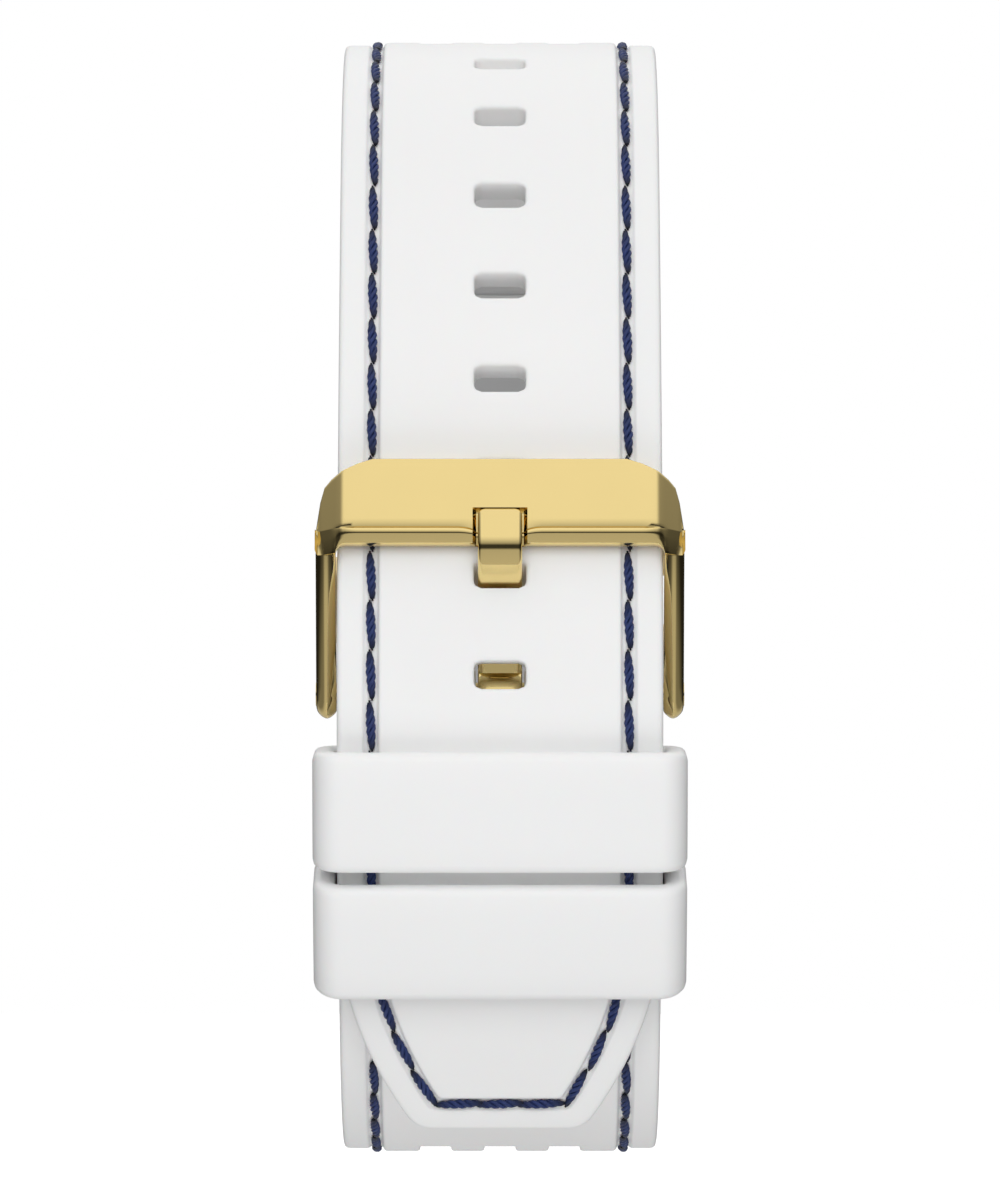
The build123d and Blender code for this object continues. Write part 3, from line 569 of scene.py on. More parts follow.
class Strap:
    """One strap half. A row is a place along it; near a tapered tip the rows fan out from it."""

    def __init__(self, route, tapered, groove_length):
        self.route = route
        self.tapered = tapered
        self.groove_start = route.length - groove_length

    def along(self, inset, row):
        if self.tapered and row < TAPER:
            return inset + row * (1 - inset / TAPER)
        return row

    def across(self, inset, row):
        """Half width of the strap, less an inset from its side."""
        if not self.tapered:
            return HALF_STRAP - inset
        along = self.along(inset, row)
        lead = max(0.0, 1 - along / TAPER)
        slant = hypot(1, 2 * TIP_INSET * lead / TAPER)
        corner = max(0.25, TIP_CORNER - inset)
        into = max(0.0, corner - (along - inset))
        cut = corner - sqrt(corner**2 - into**2)
        return HALF_STRAP - TIP_INSET * lead**2 - inset * slant - cut

    def relief(self, along):
        """1 where the channel is open, 0 beside the lug."""
        end = self.route.length - GROOVE_STOP
        return between(((end - GROOVE_FADE, 1.0), (end, 0.0)), along)

    def border(self, side, row, share=None):
        """Points of the border, for one side of a row or, with a share, across the tip."""
        points = []
        for inset, out in BORDER:
            along = self.along(inset, row)
            open_here = self.relief(along) if out > -0.6 else 1.0
            if inset < CHANNEL_SIDE:
                out += (1 - open_here) * EDGE_DROP
            else:
                out *= open_here
            reach = side if share is None else share
            points.append(self.route.place(reach * self.across(inset, row), along, out))
        return points

    def groove(self, x, along):
        """Depth of the ribbed grooves beside the case."""
        near = min(abs(abs(x) - GROOVE_PITCH), abs(x))
        start, end = self.groove_start, self.route.length - GROOVE_STOP
        slopes = ((start, 0.0), (start + GROOVE_RAMP, 1.0), (end - GROOVE_FADE, 1.0), (end, 0.0))
        ramp = between(slopes, along)
        ramp = ramp * ramp * (3 - 2 * ramp)
        return GROOVE_DEPTH * ramp * between(GROOVE_SHAPE, near)

    def band(self, row, face):
        """Points across the middle of the strap, on its outer (1) or inner (-1) face."""
        along = self.along(BAND_EDGE, row)
        width = self.across(BAND_EDGE, row) / BAND_HALF
        return [self.route.place(x * width, along,
                                 -self.groove(x, along) if face > 0 else -STRAP_THICKNESS)
                for x in COLUMNS]


def section(strap, row):
    """Whole outline of a strap across one row."""
    right, left = strap.border(1, row), strap.border(-1, row)
    top, back = strap.band(row, 1), strap.band(row, -1)
    return right[:-1] + list(reversed(back)) + list(reversed(left[:-1])) + top[1:-1]


def slot_outline(unit, middle, route, grow, out, shift, higher):
    """Rounded slot edge with one point for each point of the patch around it."""
    points = []
    half_x, half_s = SLOT_HALF_WIDTH + grow, SLOT_HALF_HEIGHT + grow + higher
    corner = SLOT_CORNER + grow
    for x, s in unit:
        u, v = x * half_x, s * half_s
        core_x, core_s = half_x - corner, half_s - corner
        away = Vector((u - min(max(u, -core_x), core_x), v - min(max(v, -core_s), core_s)))
        if away.x and away.y:
            away = away.normalized() * corner
            u = min(max(u, -core_x), core_x) + away.x
            v = min(max(v, -core_s), core_s) + away.y
        points.append(route.place(u, middle + shift + v, out))
    return points


def loop_of(rows, columns):
    """Walk around a rectangle of rows and columns."""
    walk = [(x, rows[0]) for x in columns] + [(columns[-1], s) for s in rows[1:]]
    walk += [(x, rows[-1]) for x in reversed(columns[:-1])]
    return walk + [(columns[0], s) for s in reversed(rows[1:-1])]


def cut_slot(shell, strap, middle, slant):
    """Strap around one slot, its rounded rims and its walls, the walls in the darker slot silicone as
    painted shade; slant moves the inner end.
    """
    columns = [x for x in COLUMNS if abs(x) <= PATCH_WIDTH]
    walk = loop_of(SLOT_ROWS, columns)
    unit = [(x / PATCH_WIDTH, s / PATCH_HEIGHT) for x, s in walk]
    route = strap.route
    rings = [[route.place(x, middle + s, 0.0) for x, s in walk]]
    for grow, out in SLOT_RINGS:
        shift = slant * -out / STRAP_THICKNESS
        higher = TANG_SLOT_GROWTH * -out / STRAP_THICKNESS if slant else 0.0
        rings.append(slot_outline(unit, middle, route, grow, out, shift, higher))
    rings.append([route.place(x, middle + slant + s, -STRAP_THICKNESS) for x, s in walk])
    first = len(shell.faces) + len(walk) * RIM_RINGS
    shell.grid(rings, wrap=True)
    # walls below the rim rings get the second, darker material: painted shade
    shell.second.update(range(first, len(shell.faces) - len(walk) * 2))


def wrap_outline(out_middle, radius, start, side, inset):
    """Outline of strap end wrapped around a bar: (along from the bar, out)."""
    top, back = -inset, -STRAP_THICKNESS + inset
    radius = radius - inset
    first = pi - asin(min(1.0, (top - out_middle) / radius))
    sweep = first + pi - asin(min(1.0, (out_middle - back) / radius))
    points = [(start, top)]
    for index in range(WRAP_STEPS + 1):
        angle = first - sweep * index / WRAP_STEPS
        points.append((radius * cos(angle), out_middle + radius * sin(angle)))
    points.append((start, back))
    return [(side * along, out) for along, out in points]


def wrap_end(shell, route, bar_along, out_middle, radius, start, side, spans):
    """Strap wrapped around a bar, between places across it, with rounded ends."""
    for low, high in spans:
        rows = []
        ends = [(low + room, inset) for room, inset in END_ROUNDING]
        ends += [(high - room, inset) for room, inset in reversed(END_ROUNDING)]
        for across, inset in ends:
            outline = wrap_outline(out_middle, radius, start, side, inset)
            rows.append([route.place(across, bar_along + along, out) for along, out in outline])
        shell.tube(rows)


def strap_rows(strap, slots):
    """Rows along a strap: close at the tip, the slots and the ends of the grooves."""
    length = strap.route.length
    end = length - LUG_SHOULDER
    stop = length - GROOVE_STOP
    fixed = [0.0, end, stop, stop - GROOVE_FADE, strap.groove_start, strap.groove_start + GROOVE_RAMP / 2,
             strap.groove_start + GROOVE_RAMP]
    if strap.tapered:
        fixed += TIP_ROWS
    else:
        fixed += [NOTCH_LENGTH]
    for middle, slant in slots:
        fixed += [middle + s for s in SLOT_ROWS]
        if slant:
            fixed += [middle + slant + s for s in SLOT_ROWS if slant + s < -PATCH_HEIGHT]
    fixed = sorted(set(round(value, 6) for value in fixed))
    rows = list(fixed)
    for low, high in zip(fixed, fixed[1:]):
        if high - low > LARGEST_GAP:
            rows += steps(low, high, ROW_PITCH)[1:-1]
    return sorted(rows)


def build_strap(name, strap, slots, notch):
    """Skin of a strap half. slots is [(middle, slant of the inner end)]."""
    shell = Shell()
    rows = strap_rows(strap, slots)
    last = len(rows) - 1
    index_of = {round(row, 6): index for index, row in enumerate(rows)}
    first_column, last_column = COLUMNS.index(-PATCH_WIDTH), COLUMNS.index(PATCH_WIDTH)
    notch_columns = [COLUMNS.index(-NOTCH_HALF), COLUMNS.index(NOTCH_HALF)]

    def slot_rows(middle, slant, face):
        shift = slant if face < 0 else 0.0
        low = index_of[round(middle + shift - PATCH_HEIGHT, 6)]
        return low, low + len(SLOT_ROWS) - 1

    for face in (1, -1):
        spans = [slot_rows(middle, slant, face) for middle, slant in slots]

        def hole(row, column, spans=spans):
            if notch and rows[row] < NOTCH_LENGTH - 0.01:
                if notch_columns[0] <= column < notch_columns[1]:
                    return True
            across = first_column <= column < last_column
            return across and any(low <= row < high for low, high in spans)

        shell.grid([strap.band(row, face) for row in rows], hole)

    for middle, slant in slots:
        cut_slot(shell, strap, middle, slant)

    right = [strap.border(1, row) for row in reversed(rows)]
    left = [strap.border(-1, row) for row in rows]
    if strap.tapered:
        tip = [strap.border(1, 0.0, x / BAND_HALF) for x in reversed(COLUMNS[1:-1])]
        shell.grid(right + tip + left)
    else:
        shell.grid(right)
        shell.grid(left)

    route = strap.route
    shell.face(section(strap, rows[last]))
    if notch:
        for side in (1, -1):
            border = strap.border(side, 0.0)
            middle = len(COLUMNS) // 2
            inner = [i for i, x in enumerate(COLUMNS) if side * x >= NOTCH_HALF]
            inner = inner if side < 0 else list(reversed(inner))
            top = [strap.band(0.0, 1)[i] for i in inner]
            back = [strap.band(0.0, -1)[i] for i in inner]
            shell.face(list(reversed(border)) + top[1:] + list(reversed(back))[:-1])
        walk = [(NOTCH_HALF, row) for row in rows if row <= NOTCH_LENGTH + 0.01]
        walk += [(x, NOTCH_LENGTH) for x in reversed(COLUMNS) if abs(x) < NOTCH_HALF]
        walk += [(-NOTCH_HALF, row) for row in reversed(rows) if row <= NOTCH_LENGTH + 0.01]
        shell.grid([[route.place(x, s, out) for x, s in walk] for out in (0.0, -STRAP_THICKNESS)])
        wrap_end(shell, route, 0.0, BUCKLE_BAR_OUT, BUCKLE_KNUCKLE_RADIUS, -0.4, -1,
                 ((-HALF_STRAP, -NOTCH_HALF), (NOTCH_HALF, HALF_STRAP)))
    wrap_end(shell, route, route.length, -STRAP_THICKNESS / 2, KNUCKLE_RADIUS,
             -LUG_SHOULDER - 0.3, 1, ((-TONGUE_HALF, TONGUE_HALF),))
    end = route.place(0, route.length, -STRAP_THICKNESS / 2)
    bar = Vector((end.y, end.z))
    lip = [(bar, LIP_ROOT), (bar - Vector((0, copysign(LIP_REACH, bar.y))), LIP_ROUND)]
    shell.tube([[Vector((side * LIP_HALF, y, z)) for y, z in smooth_hull(lip, 0.0)]
                for side in (-1, 1)])
    skin = shell.piece(name, STRAP_WHITE)
    # second material: painted shade on the slot walls
    skin.data.materials.append(SLOT_PAINTED_SHADE)
    return skin


long_half = Strap(LONG, True, LONG_GROOVES)
short_half = Strap(SHORT, False, SHORT_GROOVES)
long_slots = [(FIRST_SLOT + SLOT_PITCH * index, TANG_SLANT if index == TANG_SLOT else 0.0)
              for index in range(SLOT_COUNT)]
long_skin = build_strap("long_strap_skin", long_half, long_slots, False)
short_skin = build_strap("short_strap_skin", short_half, [], True)
finished(long_skin, "long_strap_half", "silicone", "long_strap")
finished(short_skin, "short_strap_half", "silicone", "short_strap")


# ---------------------------------------------------------------- stitching
def stitch_places(strap, first, tip_count):
    """Middle of each stitch: (place, direction along, direction out)."""
    places = []
    end = strap.route.length - GROOVE_STOP - STITCH_PITCH / 2
    for side in (-1, 1):
        row, travelled, wanted = first, 0.0, STITCH_PITCH / 2
        point = strap.route.place(side * strap.across(CHANNEL_MIDDLE, row),
                                  strap.along(CHANNEL_MIDDLE, row), STITCH_OUT)
        while row + WALK_STEP < end:
            row += WALK_STEP
            along = strap.along(CHANNEL_MIDDLE, row)
            ahead = strap.route.place(side * strap.across(CHANNEL_MIDDLE, row), along, STITCH_OUT)
            travelled += (ahead - point).length
            if travelled >= wanted:
                places.append((ahead, (ahead - point).normalized(), strap.route.outward(along)))
                wanted += STITCH_PITCH
            point = ahead
    if tip_count:
        half = strap.across(CHANNEL_MIDDLE, 0.0)
        pitch = 2 * half / tip_count
        for index in range(tip_count):
            across = -half + pitch * (index + 0.5)
            places.append((strap.route.place(across, CHANNEL_MIDDLE, STITCH_OUT),
                           Vector((-1, 0, 0)), strap.route.outward(CHANNEL_MIDDLE)))
    return places


def place_mesh(name, places):
    """Bare points that carry each stitch's directions, ready for the stitching tree."""
    mesh = bpy.data.meshes.new(name)
    mesh.from_pydata([place[0] * MM for place in places], [], [])
    for title, column in (("along", 1), ("outward", 2)):
        layer = mesh.attributes.new(title, "FLOAT_VECTOR", "POINT")
        for index, place in enumerate(places):
            layer.data[index].vector = place[column]
    return mesh


def stitching_tree():
    """Geometry nodes: three twisted plies, fat in the middle, set at every point."""
    tree = bpy.data.node_groups.new("stitching", "GeometryNodeTree")
    face = tree.interface
    face.new_socket("Places", in_out="INPUT", socket_type="NodeSocketGeometry")
    for title, value in (("Stitch length", STITCH_LENGTH * MM), ("Ply radius", 0.148 * MM),
                         ("Ply spread", 0.2 * MM), ("Link radius", 0.08 * MM), ("Turns", 1.8),
                         ("Flatness", 0.85)):
        socket = face.new_socket(title, in_out="INPUT", socket_type="NodeSocketFloat")
        socket.default_value = value
    face.new_socket("Thread", in_out="INPUT", socket_type="NodeSocketMaterial")
    face.new_socket("Stitches", in_out="OUTPUT", socket_type="NodeSocketGeometry")

    def add(kind, inputs=None, **settings):
        return add_node(tree, kind, inputs, **settings)

    def number(socket):
        return Number(tree, socket)

    given = add("NodeGroupInput").outputs
    helix = add("GeometryNodeCurveSpiral", {
        "Resolution": 9, "Rotations": given["Turns"], "Start Radius": given["Ply spread"],
        "End Radius": given["Ply spread"], "Height": given["Stitch length"], "Reverse": True})
    run = number(add("GeometryNodeSplineParameter").outputs["Factor"])
    swell = (run * pi).sine() ** 0.6
    slim = add("ShaderNodeCombineXYZ", {"X": swell, "Y": swell, "Z": 1.0})
    pulled = add("ShaderNodeVectorMath", {0: add("GeometryNodeInputPosition").outputs[0],
                                          1: slim.outputs[0]}, operation="MULTIPLY")
    ply = add("GeometryNodeSetPosition", {"Geometry": helix.outputs[0],
                                          "Position": pulled.outputs["Vector"]})
    named = add("GeometryNodeStoreNamedAttribute", {"Geometry": ply.outputs[0], "Name": "run",
                                                    "Value": run}, domain="POINT")
    sized = add("GeometryNodeSetCurveRadius", {"Curve": named.outputs[0],
                                               "Radius": swell * 0.6 + 0.4})
    round_ply = add("GeometryNodeCurvePrimitiveCircle", {"Resolution": 6, "Radius": given["Ply radius"]})
    tube = add("GeometryNodeCurveToMesh", {"Curve": sized.outputs[0],
                                           "Profile Curve": round_ply.outputs["Curve"],
                                           "Fill Caps": True})
    lower = number(given["Stitch length"]) * -0.5
    centred = add("ShaderNodeCombineXYZ", {"Z": lower})
    # thin link from stitch to stitch; it carries no run, so the thread finish draws it near black:
    # painted shade
    link = add("GeometryNodeMeshCylinder", {"Vertices": 6, "Radius": given["Link radius"],
                                            "Depth": given["Stitch length"]})
    longer = add("GeometryNodeTransform", {"Geometry": link.outputs["Mesh"], "Scale": (1, 1, 1.12)})
    stitch = add("GeometryNodeJoinGeometry")
    tree.links.new(longer.outputs[0], stitch.inputs[0])
    for turn in range(3):
        turned = add("GeometryNodeTransform", {"Geometry": tube.outputs[0],
                                               "Translation": centred.outputs[0],
                                               "Rotation": (0, 0, radians(120 * turn + 30))})
        tree.links.new(turned.outputs[0], stitch.inputs[0])
    along = add("GeometryNodeInputNamedAttribute", {"Name": "along"}, data_type="FLOAT_VECTOR")
    outward = add("GeometryNodeInputNamedAttribute", {"Name": "outward"}, data_type="FLOAT_VECTOR")
    facing = add("FunctionNodeAxesToRotation", {0: along.outputs[0], 1: outward.outputs[0]},
                 primary_axis="Z", secondary_axis="X")
    flat = add("ShaderNodeCombineXYZ", {"X": given["Flatness"], "Y": 1.0, "Z": 1.0})
    rows = add("GeometryNodeInstanceOnPoints", {"Points": given["Places"],
                                                "Instance": stitch.outputs[0],
                                                "Rotation": facing.outputs[0],
                                                "Scale": flat.outputs[0]})
    real = add("GeometryNodeRealizeInstances", {"Geometry": rows.outputs[0]})
    smooth = add("GeometryNodeSetShadeSmooth", {"Geometry": real.outputs[0]})
    threaded = add("GeometryNodeSetMaterial", {"Geometry": smooth.outputs[0],
                                               "Material": given["Thread"]})
    add("NodeGroupOutput", {"Stitches": threaded.outputs[0]})
    return tree


def grown(name, mesh, tree, values):
    """Runs a geometry tree on a mesh and keeps the plain result."""
    carrier = linked(name, mesh)
    modifier = carrier.modifiers.new(name, "NODES")
    modifier.node_group = tree
    for item in tree.interface.items_tree:
        if item.in_out == "INPUT" and item.name in values:
            modifier[item.identifier] = values[item.name]
    return linked(name, plain(carrier))


def slanted(places, degrees_over):
    """Turns each stitch a little in the channel, as hand stitching leans."""
    leaning = []
    for place, along, outward in places:
        turn = Matrix.Rotation(radians(degrees_over), 3, outward)
        leaning.append((place, turn @ along, outward))
    return leaning


STITCHING = stitching_tree()
long_places = stitch_places(long_half, 0.0, TIP_STITCHES)
short_places = stitch_places(short_half, BUCKLE_KNUCKLE_RADIUS * 2, 0)
for name, places, body in (("long_strap_stitches", long_places, "long_strap_half"),
                           ("short_strap_stitches", short_places, "short_strap_half")):
    stitches = grown(name, place_mesh(name, slanted(places, STITCH_LEAN)), STITCHING, {"Thread": THREAD})
    finished(stitches, body, "thread", name.replace("stitches", "stitching"))


# ---------------------------------------------------------------- keepers
def rounded_rectangle(half_x, half_y, corner, count):
    """Points around a rounded rectangle, with the outward direction at each."""
    points = []
    for quarter, (side_x, side_y) in enumerate(((1, 1), (-1, 1), (-1, -1), (1, -1))):
        centre = Vector((side_x * (half_x - corner), side_y * (half_y - corner)))
        for index in range(count + 1):
            out = heading(90 * quarter + 90 * index / count)
            points.append((centre + out * corner, out))
    return points


KEEPER_SECTION = [(7.4, 0.0), (7.75, 0.04), (7.94, 0.18), (8.0, 0.45), (8.0, 0.95), (7.92, 1.24),
                  (7.72, 1.42), (7.4, 1.5), (6.0, 1.5), (4.0, 1.5), (2.0, 1.5), (0.6, 1.5),
                  (0.28, 1.42), (0.08, 1.24), (0.0, 0.95), (0.0, 0.45), (0.06, 0.18), (0.25, 0.04),
                  (0.6, 0.0), (4.0, 0.0)]


def keeper(name, body):
    """Sleeve around both strap halves, with softly rounded corners and edges."""
    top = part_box(name)[1].z / MM
    middle_out = -KEEPER_DEPTH / 2
    # below the middle of the front arc, a sleeve is highest at the upper end of its inner face
    upper = degrees(asin((top - FRONT_Z) / (KEEPER_ROOM - KEEPER_DEPTH - KEEPER_WALL)))
    wall = rounded_rectangle(KEEPER_HALF, KEEPER_DEPTH / 2, 0.5, 8)
    shell = Shell()
    rows = []
    for point, out in wall:
        row = []
        for along, thick in KEEPER_SECTION:
            place = point + out * thick
            radius = KEEPER_ROOM + middle_out + place.y
            angle = 180 - upper + degrees(along / KEEPER_ROOM)
            spot = front_centre + heading(angle) * radius
            row.append(Vector((place.x, spot.x, spot.y)))
        rows.append(row)
    rows.append(rows[0])
    shell.grid(rows, wrap=True)
    sleeve = shell.piece(name + "_sleeve", KEEPER_WHITE, sharp=60)
    finished(sleeve, body, "keeper_silicone", name)


keeper("upper_keeper", "upper_loop")
keeper("lower_keeper", "lower_loop")

# ---------------------------------------------------------------- buckle
plate_low = LONG.distance_at(PLATE_LOW_Z, 90.0)
plate_high = LONG.distance_at(PLATE_HIGH_Z, 90.0)
LIP_HEIGHT = 1.0  # rolled edge along the bottom of the plate
LIP = ((0.0, 0.8), (0.03, 0.62), (0.1, 0.5), (0.3, 0.35), (0.5, 0.2), (0.6, 0.14), (0.68, 0.115),
       (0.78, 0.105), (0.9, 0.105), (0.96, 0.12), (0.99, 0.16), (1.0, 0.17), (1.03, 0.09),
       (1.08, 0.03))  # (share of its height, below the face)
LIP_FADE = ((9.8, 1.0), (11.3, 0.0))  # where the lip sinks into the arm, across
PLATE_COLUMNS = mirrored((0, 0.8, 1.4, 1.6, 1.72, 1.85, 2.1, 2.4, 2.8, 4.0, 6.0, 8.0, 8.6, 9.1,
                          9.6, 9.9, 10.2, 10.45, 10.7, 10.85, 11.0, 11.1, 11.25, 11.4, 11.6,
                          11.75, 11.87, 12.0, 12.15, 12.3))
PLATE_ROWS = (1.3, 1.6, 1.9, 2.1, 2.22, 2.35, 2.6, 3.4, 4.2, 5.0)  # above its lower edge


def plate_top(across):
    """Where the plate ends above, at a place across it."""
    return plate_high - between(PLATE_CORNER, abs(across))


def arm_fillet(across):
    """How far the lip curves down where it runs into an arm."""
    into = min(max(0.0, across - (ARM_INNER - ARM_FILLET)), ARM_FILLET)
    return ARM_FILLET - sqrt(ARM_FILLET**2 - into**2)


def plate_outline(across, shrink):
    """Outline of the plate at a place across it: (along, out), with a rolled lip below."""
    face = PLATE_FACE - shrink - between(PLATE_SIDE, abs(across))
    seat = between(((SEAT_HALF - 0.05, SEAT_DEPTH), (SEAT_HALF + 0.18, 0.0)), abs(across))
    low = plate_low + shrink - arm_fillet(abs(across))
    top = max(plate_top(across), plate_low + LIP_HEIGHT + 0.1) - shrink
    back = PLATE_GAP + shrink
    points = [(low + 0.35, back), (low + 0.1, back + 0.12), (low, back + 0.35)]
    flare = between(((SEAT_HALF, 0.0), (SEAT_HALF + 1.3, 1.0)), abs(across))
    rise = LIP_HEIGHT * (1 - 0.25 * (1 - flare)**2)
    ease = between(LIP_FADE, abs(across))
    for share, drop in LIP:
        drop = drop * ease + 0.3 * (1 - min(share, 1.0)) * (1 - ease)
        points.append((low + share * (plate_low + rise - low), max(face - drop - seat, back + 0.3)))
    for along in PLATE_ROWS:
        held = between(((SEAT_LENGTH - 0.16, 1.0), (SEAT_LENGTH, 0.0)), along) * seat
        points.append((min(plate_low + along, top - 0.3), max(face - held, back + 0.3)))
    points += [(top - 0.24, face), (top - 0.1, face - 0.05), (top, face - 0.25),
               (top, back + 0.25), (top - 0.1, back + 0.05), (top - 0.3, back)]
    return points


def buckle_plate(shell):
    ends = ((PLATE_HALF, 0.3), (PLATE_HALF - 0.09, 0.09))
    rows = [plate_row(-across, shrink) for across, shrink in ends]
    rows += [plate_row(across, 0.0) for across in PLATE_COLUMNS]
    rows += [plate_row(across, shrink) for across, shrink in reversed(ends)]
    shell.tube(rows)


def plate_row(across, shrink):
    return [LONG.place(across, along, out) for along, out in plate_outline(across, shrink)]


def flat_place(z, out):
    """Point over the long strap as (y, z)."""
    point = LONG.place(0, LONG.distance_at(z, 90.0), out)
    return Vector((point.y, point.z))


def buckle_arm(shell, side):
    """Arm from the plate to the bar, rounded along its outer face."""
    top = flat_place(PLATE_LOW_Z - ARM_DROP, PLATE_FACE - ARM_END - ARM_SINK)
    circles = [(top, ARM_END), (buckle_bar, ARM_EYE)]
    rows = []
    for width, inset in ARM_SECTIONS:
        outline = smooth_hull(circles, inset)
        rows.append([Vector((side * (ARM_INNER + width), y, z)) for y, z in outline])
    shell.tube(rows)


frame_shell = Shell()
buckle_plate(frame_shell)
for side in (-1, 1):
    buckle_arm(frame_shell, side)
buckle = frame_shell.piece("buckle_body", POLISHED_GOLD, sharp=38)
finished(buckle, "buckle", "gold", "buckle_frame")


def tang_line():
    """Middle of the tang from its eye to its tip as (y, z), with its two bends rounded."""
    bend = flat_place(TANG_BEND_Z, TANG_BEND_OUT)
    tip = flat_place(TANG_TIP_Z, TANG_TIP_OUT)
    corner = bend + heading(-45) * TANG_REACH
    points = [buckle_bar]
    bends = ((buckle_bar, corner, bend, LOW_BEND), (corner, bend, tip, TOP_BEND))
    for before, turn, after, room in bends:
        start = turn + (before - turn).normalized() * room
        end = turn + (after - turn).normalized() * room
        for index in range(9):
            share = index / 8
            points.append(start * (1 - share)**2 + turn * 2 * share * (1 - share) + end * share**2)
    return points + [bend + (tip - bend) * 0.75, tip]


# (past the last point, share of its width, share of its thickness)
TANG_TIP = ((0.2, 0.97, 0.95), (0.36, 0.9, 0.8), (0.46, 0.8, 0.55), (0.5, 0.7, 0.3))


def build_tang():
    line = tang_line()
    shell = Shell()
    rows = []
    section_points = rounded_rectangle(TANG_HALF_WIDTH, TANG_THICKNESS / 2, 0.3, 4)
    tip_direction = (line[-1] - line[-2]).normalized()
    spots = [(point, 1.0, 1.0) for point in line]
    for reach, wide, thick in TANG_TIP:
        spots.append((line[-1] + tip_direction * reach, wide, thick))
    for index, (point, wide, thick) in enumerate(spots):
        before = spots[max(index - 1, 0)][0]
        after = spots[min(index + 1, len(spots) - 1)][0]
        run = (after - before).normalized()
        normal = Vector((-run.y, run.x))
        row = []
        for place, _ in section_points:
            spot = point + normal * place.y * thick
            row.append(Vector((place.x * wide, spot.x, spot.y)))
        rows.append(row)
    shell.tube(rows)
    eye = []
    for across, inset in ((-1.5, 0.2), (-1.42, 0.06), (-1.25, 0.0), (1.25, 0.0), (1.42, 0.06),
                          (1.5, 0.2)):
        ring = [buckle_bar + heading(10 * index) * (TANG_EYE - inset) for index in range(36)]
        eye.append([Vector((across, y, z)) for y, z in ring])
    shell.tube(eye)
    tang = shell.piece("tang_pin", POLISHED_GOLD, sharp=40)
    finished(tang, "buckle_tang", "gold", "tang")


build_tang()


# ---------------------------------------------------------------- head
def dress(material, *names):
    """Gives CAD nodes a finish."""
    for name in names:
        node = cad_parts[name]
        node.data.materials.clear()
        node.data.materials.append(material)


dress(CASE_WHITE, "case_body")
dress(BACK_GREY, "case_back")
dress(SATIN_GOLD, "bezel")
dress(CRYSTAL, "crystal")
dress(SEAL, "case_back_gasket", "crystal_gasket", "button_seals")
dress(STEEL, "case_back_screws", "upper_bar_tube", "lower_bar_tube", "upper_bar_spring",
      "lower_bar_spring", "upper_release_pin", "lower_release_pin", "vibration_motor",
      "up_button_spring", "down_button_spring", "power_button_spring", "up_button_clip",
      "down_button_clip", "power_button_clip")
dress(CONTACT, "charging_contacts")
dress(PANEL, "display_panel")
dress(INNER, "display_frame", "display_flex", "button_switches")
dress(BOARD, "main_board")
dress(RESIN, "board_chips")
dress(CERAMIC, "gps_antenna")
dress(FOIL, "battery")
dress(POLISHED_GOLD, "buckle_bar")
dress(SATIN_GOLD, "up_button", "down_button", "power_button")


def digits(name, text, height, up):
    """Raised reading in the middle of the display, at a height above the case's middle."""
    curve = bpy.data.curves.new(name, "FONT")
    curve.body = text
    curve.size = height
    curve.align_x, curve.align_y = "CENTER", "CENTER"
    curve.extrude = 0.02
    mesh = plain(linked(name, curve))
    facing = Matrix(((-1, 0, 0, 0), (0, 0, 1, panel_front), (0, 1, 0, up), (0, 0, 0, 1)))
    mesh.transform(Matrix.Scale(MM, 4) @ facing)
    finished(placed(name, mesh, DIGIT_WHITE), "head", "display_glass")


panel_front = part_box("display_panel")[1].y / MM + 0.03


def green_shape():
    """Putting green and its flag on the display, as thin raised shapes."""
    shell = Shell()
    outline = []
    for index in range(40):
        angle = 9 * index
        reach = 1 + 0.13 * sin(radians(2 * angle + 40)) + 0.07 * sin(radians(3 * angle))
        outline.append(heading(angle) * reach)
    rows = [[Vector((spot.x * 4.4, panel_front + depth, spot.y * 5.2 + 9.5)) for spot in outline]
            for depth in (0.0, 0.03)]
    shell.tube(rows)
    finished(shell.piece("display_green", FAIRWAY_GREEN), "head", "display_glass")
    flag = Shell()
    for corners in (((-0.12, 8.4), (0.12, 8.4), (0.12, 12.6), (-0.12, 12.6)),
                    ((-0.12, 12.6), (-0.12, 10.9), (-2.2, 11.75))):
        flag.tube([[Vector((x, panel_front + depth, z)) for x, z in corners]
                   for depth in (0.04, 0.08)])
    finished(flag.piece("display_flag", FLAG_RED), "head", "display_glass")


green_shape()
digits("display_back_distance", "157", 3.2, 0.6)
digits("display_middle_distance", "148", 6.4, -5.6)
digits("display_front_distance", "139", 3.2, -11.6)


# ---------------------------------------------------------------- stage, light and camera
# metres
FLOOR_DROP, FLOOR_HALF, CAMERA_AWAY = 0.06, 1.2, 0.506
SOFTBOX_SIZE = (0.5, 0.4)


def backdrop():
    """Pale flat floor, low enough for the strap halves to open above it."""
    floor = cad_low.z - FLOOR_DROP
    rows = [[Vector((x, y, floor)) / MM for y in (-FLOOR_HALF, FLOOR_HALF)]
            for x in (-FLOOR_HALF, FLOOR_HALF)]
    shell = Shell()
    shell.grid(rows)
    finish = Finish("paper", Base_Color=tone(0.35, 0.35, 0.35), Emission_Color=tone(1, 1, 1),
                    Emission_Strength=0.85)
    finish.set(Roughness=finish.noise(40.0) * 0.1 + 0.8)
    sheet = shell.piece("backdrop", finish.material)
    sheet.visible_diffuse = False
    sheet.visible_glossy = False
    sheet.visible_shadow = False


# (elevation from straight down to straight up, brightness)
SKY = ((0.005, 0.55), (0.36, 0.5), (0.43, 0.04), (0.55, 0.04), (0.61, 0.4), (0.7, 0.7),
       (0.79, 1.0), (1.0, 1.05))


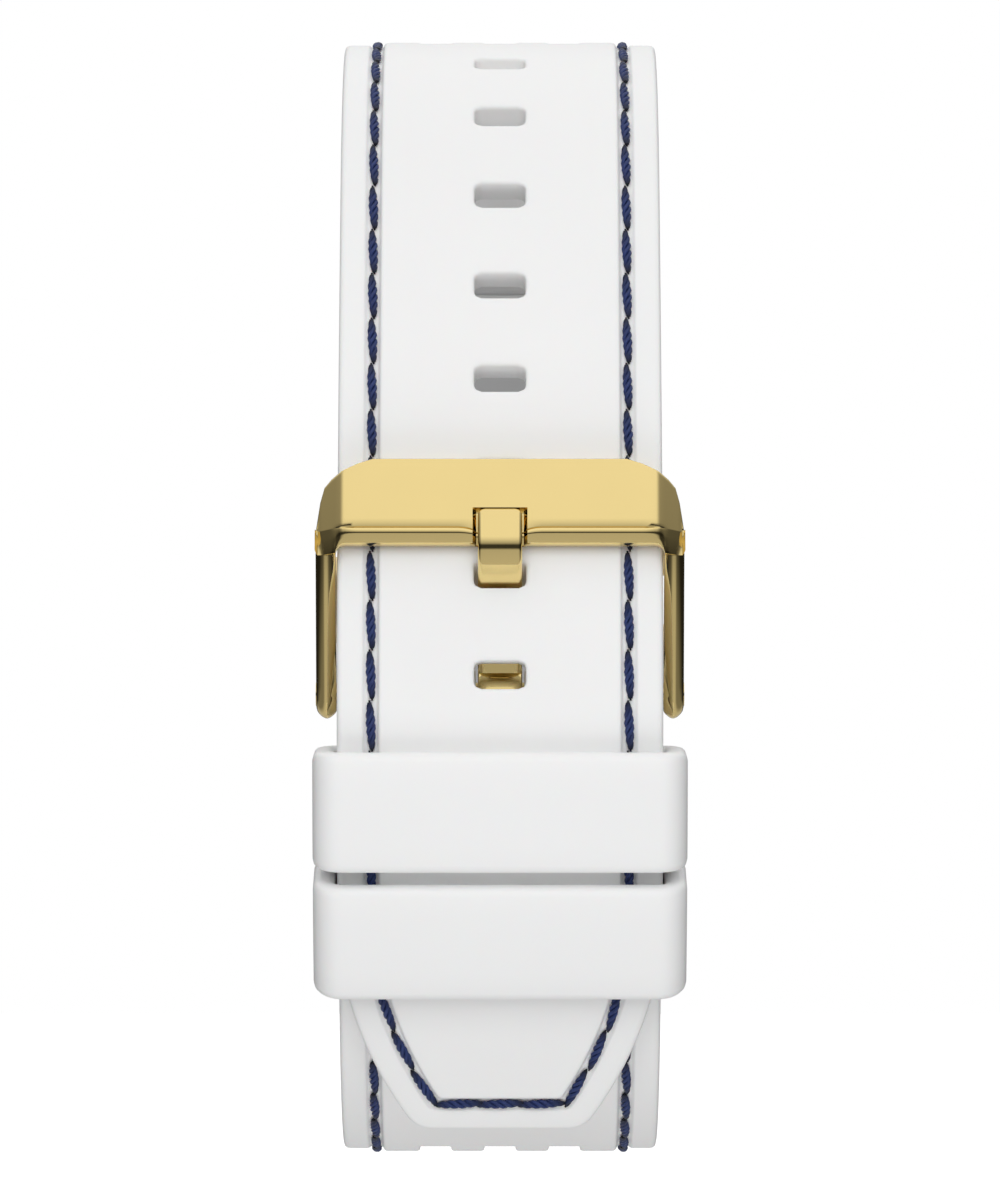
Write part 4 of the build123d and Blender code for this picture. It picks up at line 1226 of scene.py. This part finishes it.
def sky():
    """White to the camera; elsewhere pale below and above a dark band, and dimmer to the sides."""
    world = bpy.data.worlds.new("studio")
    bpy.context.scene.world = world
    world.use_nodes = True
    tree = world.node_tree
    split = add_node(tree, "ShaderNodeSeparateXYZ",
                     {0: add_node(tree, "ShaderNodeTexCoord").outputs["Generated"]}).outputs
    height = Number(tree, split["Z"])
    band = add_node(tree, "ShaderNodeValToRGB", {0: height * 0.5 + 0.5})
    stops = band.color_ramp.elements
    for position, shade in SKY:
        stop = stops.new(position)
        stop.color = tone(shade, shade, shade)
    stops.remove(stops[0])
    side = Number(tree, split["X"])
    flank = add_node(tree, "ShaderNodeMapRange", {"Value": side * side, "From Min": 0.25,
                                                  "From Max": 0.6, "To Max": 0.6})
    dimmed = add_node(tree, "ShaderNodeMix", data_type="RGBA")
    fill(tree, dimmed, {0: flank.outputs[0], 6: band.outputs[0], 7: tone(0, 0, 0)})
    seen = add_node(tree, "ShaderNodeMix", data_type="RGBA")
    direct = add_node(tree, "ShaderNodeLightPath").outputs["Is Camera Ray"]
    fill(tree, seen, {0: direct, 6: dimmed.outputs[2], 7: tone(1, 1, 1)})
    tree.links.new(seen.outputs[2], tree.nodes["Background"].inputs["Color"])


def softbox(name, place, aim, power):
    """Broad lamp that lights the object without showing in the metal."""
    light = bpy.data.lights.new(name, "AREA")
    light.shape = "RECTANGLE"
    light.size, light.size_y = SOFTBOX_SIZE
    light.energy = power
    lamp = linked(name, light)
    lamp.location = place
    lamp.rotation_euler = (Vector(aim) - Vector(place)).to_track_quat("-Z", "Y").to_euler()
    lamp.visible_glossy = False


def camera():
    """Level view of the buckle side from close by."""
    lens = bpy.data.cameras.new("camera")
    lens.sensor_fit = "VERTICAL"
    lens.sensor_height = 36.0
    lens.lens = 214.0
    view = linked("camera", lens)
    view.location = (0, -CAMERA_AWAY, 0)
    view.rotation_euler = (radians(90), 0, 0)
    bpy.context.scene.camera = view


backdrop()
sky()
softbox("front_softbox", (0.0, -0.6, 0.25), (0, 0, 0), 1.6)
softbox("low_softbox", (0.0, -0.45, -0.5), (0, 0, -0.02), 1.3)
camera()
bpy.context.scene.view_settings.view_transform = "Standard"
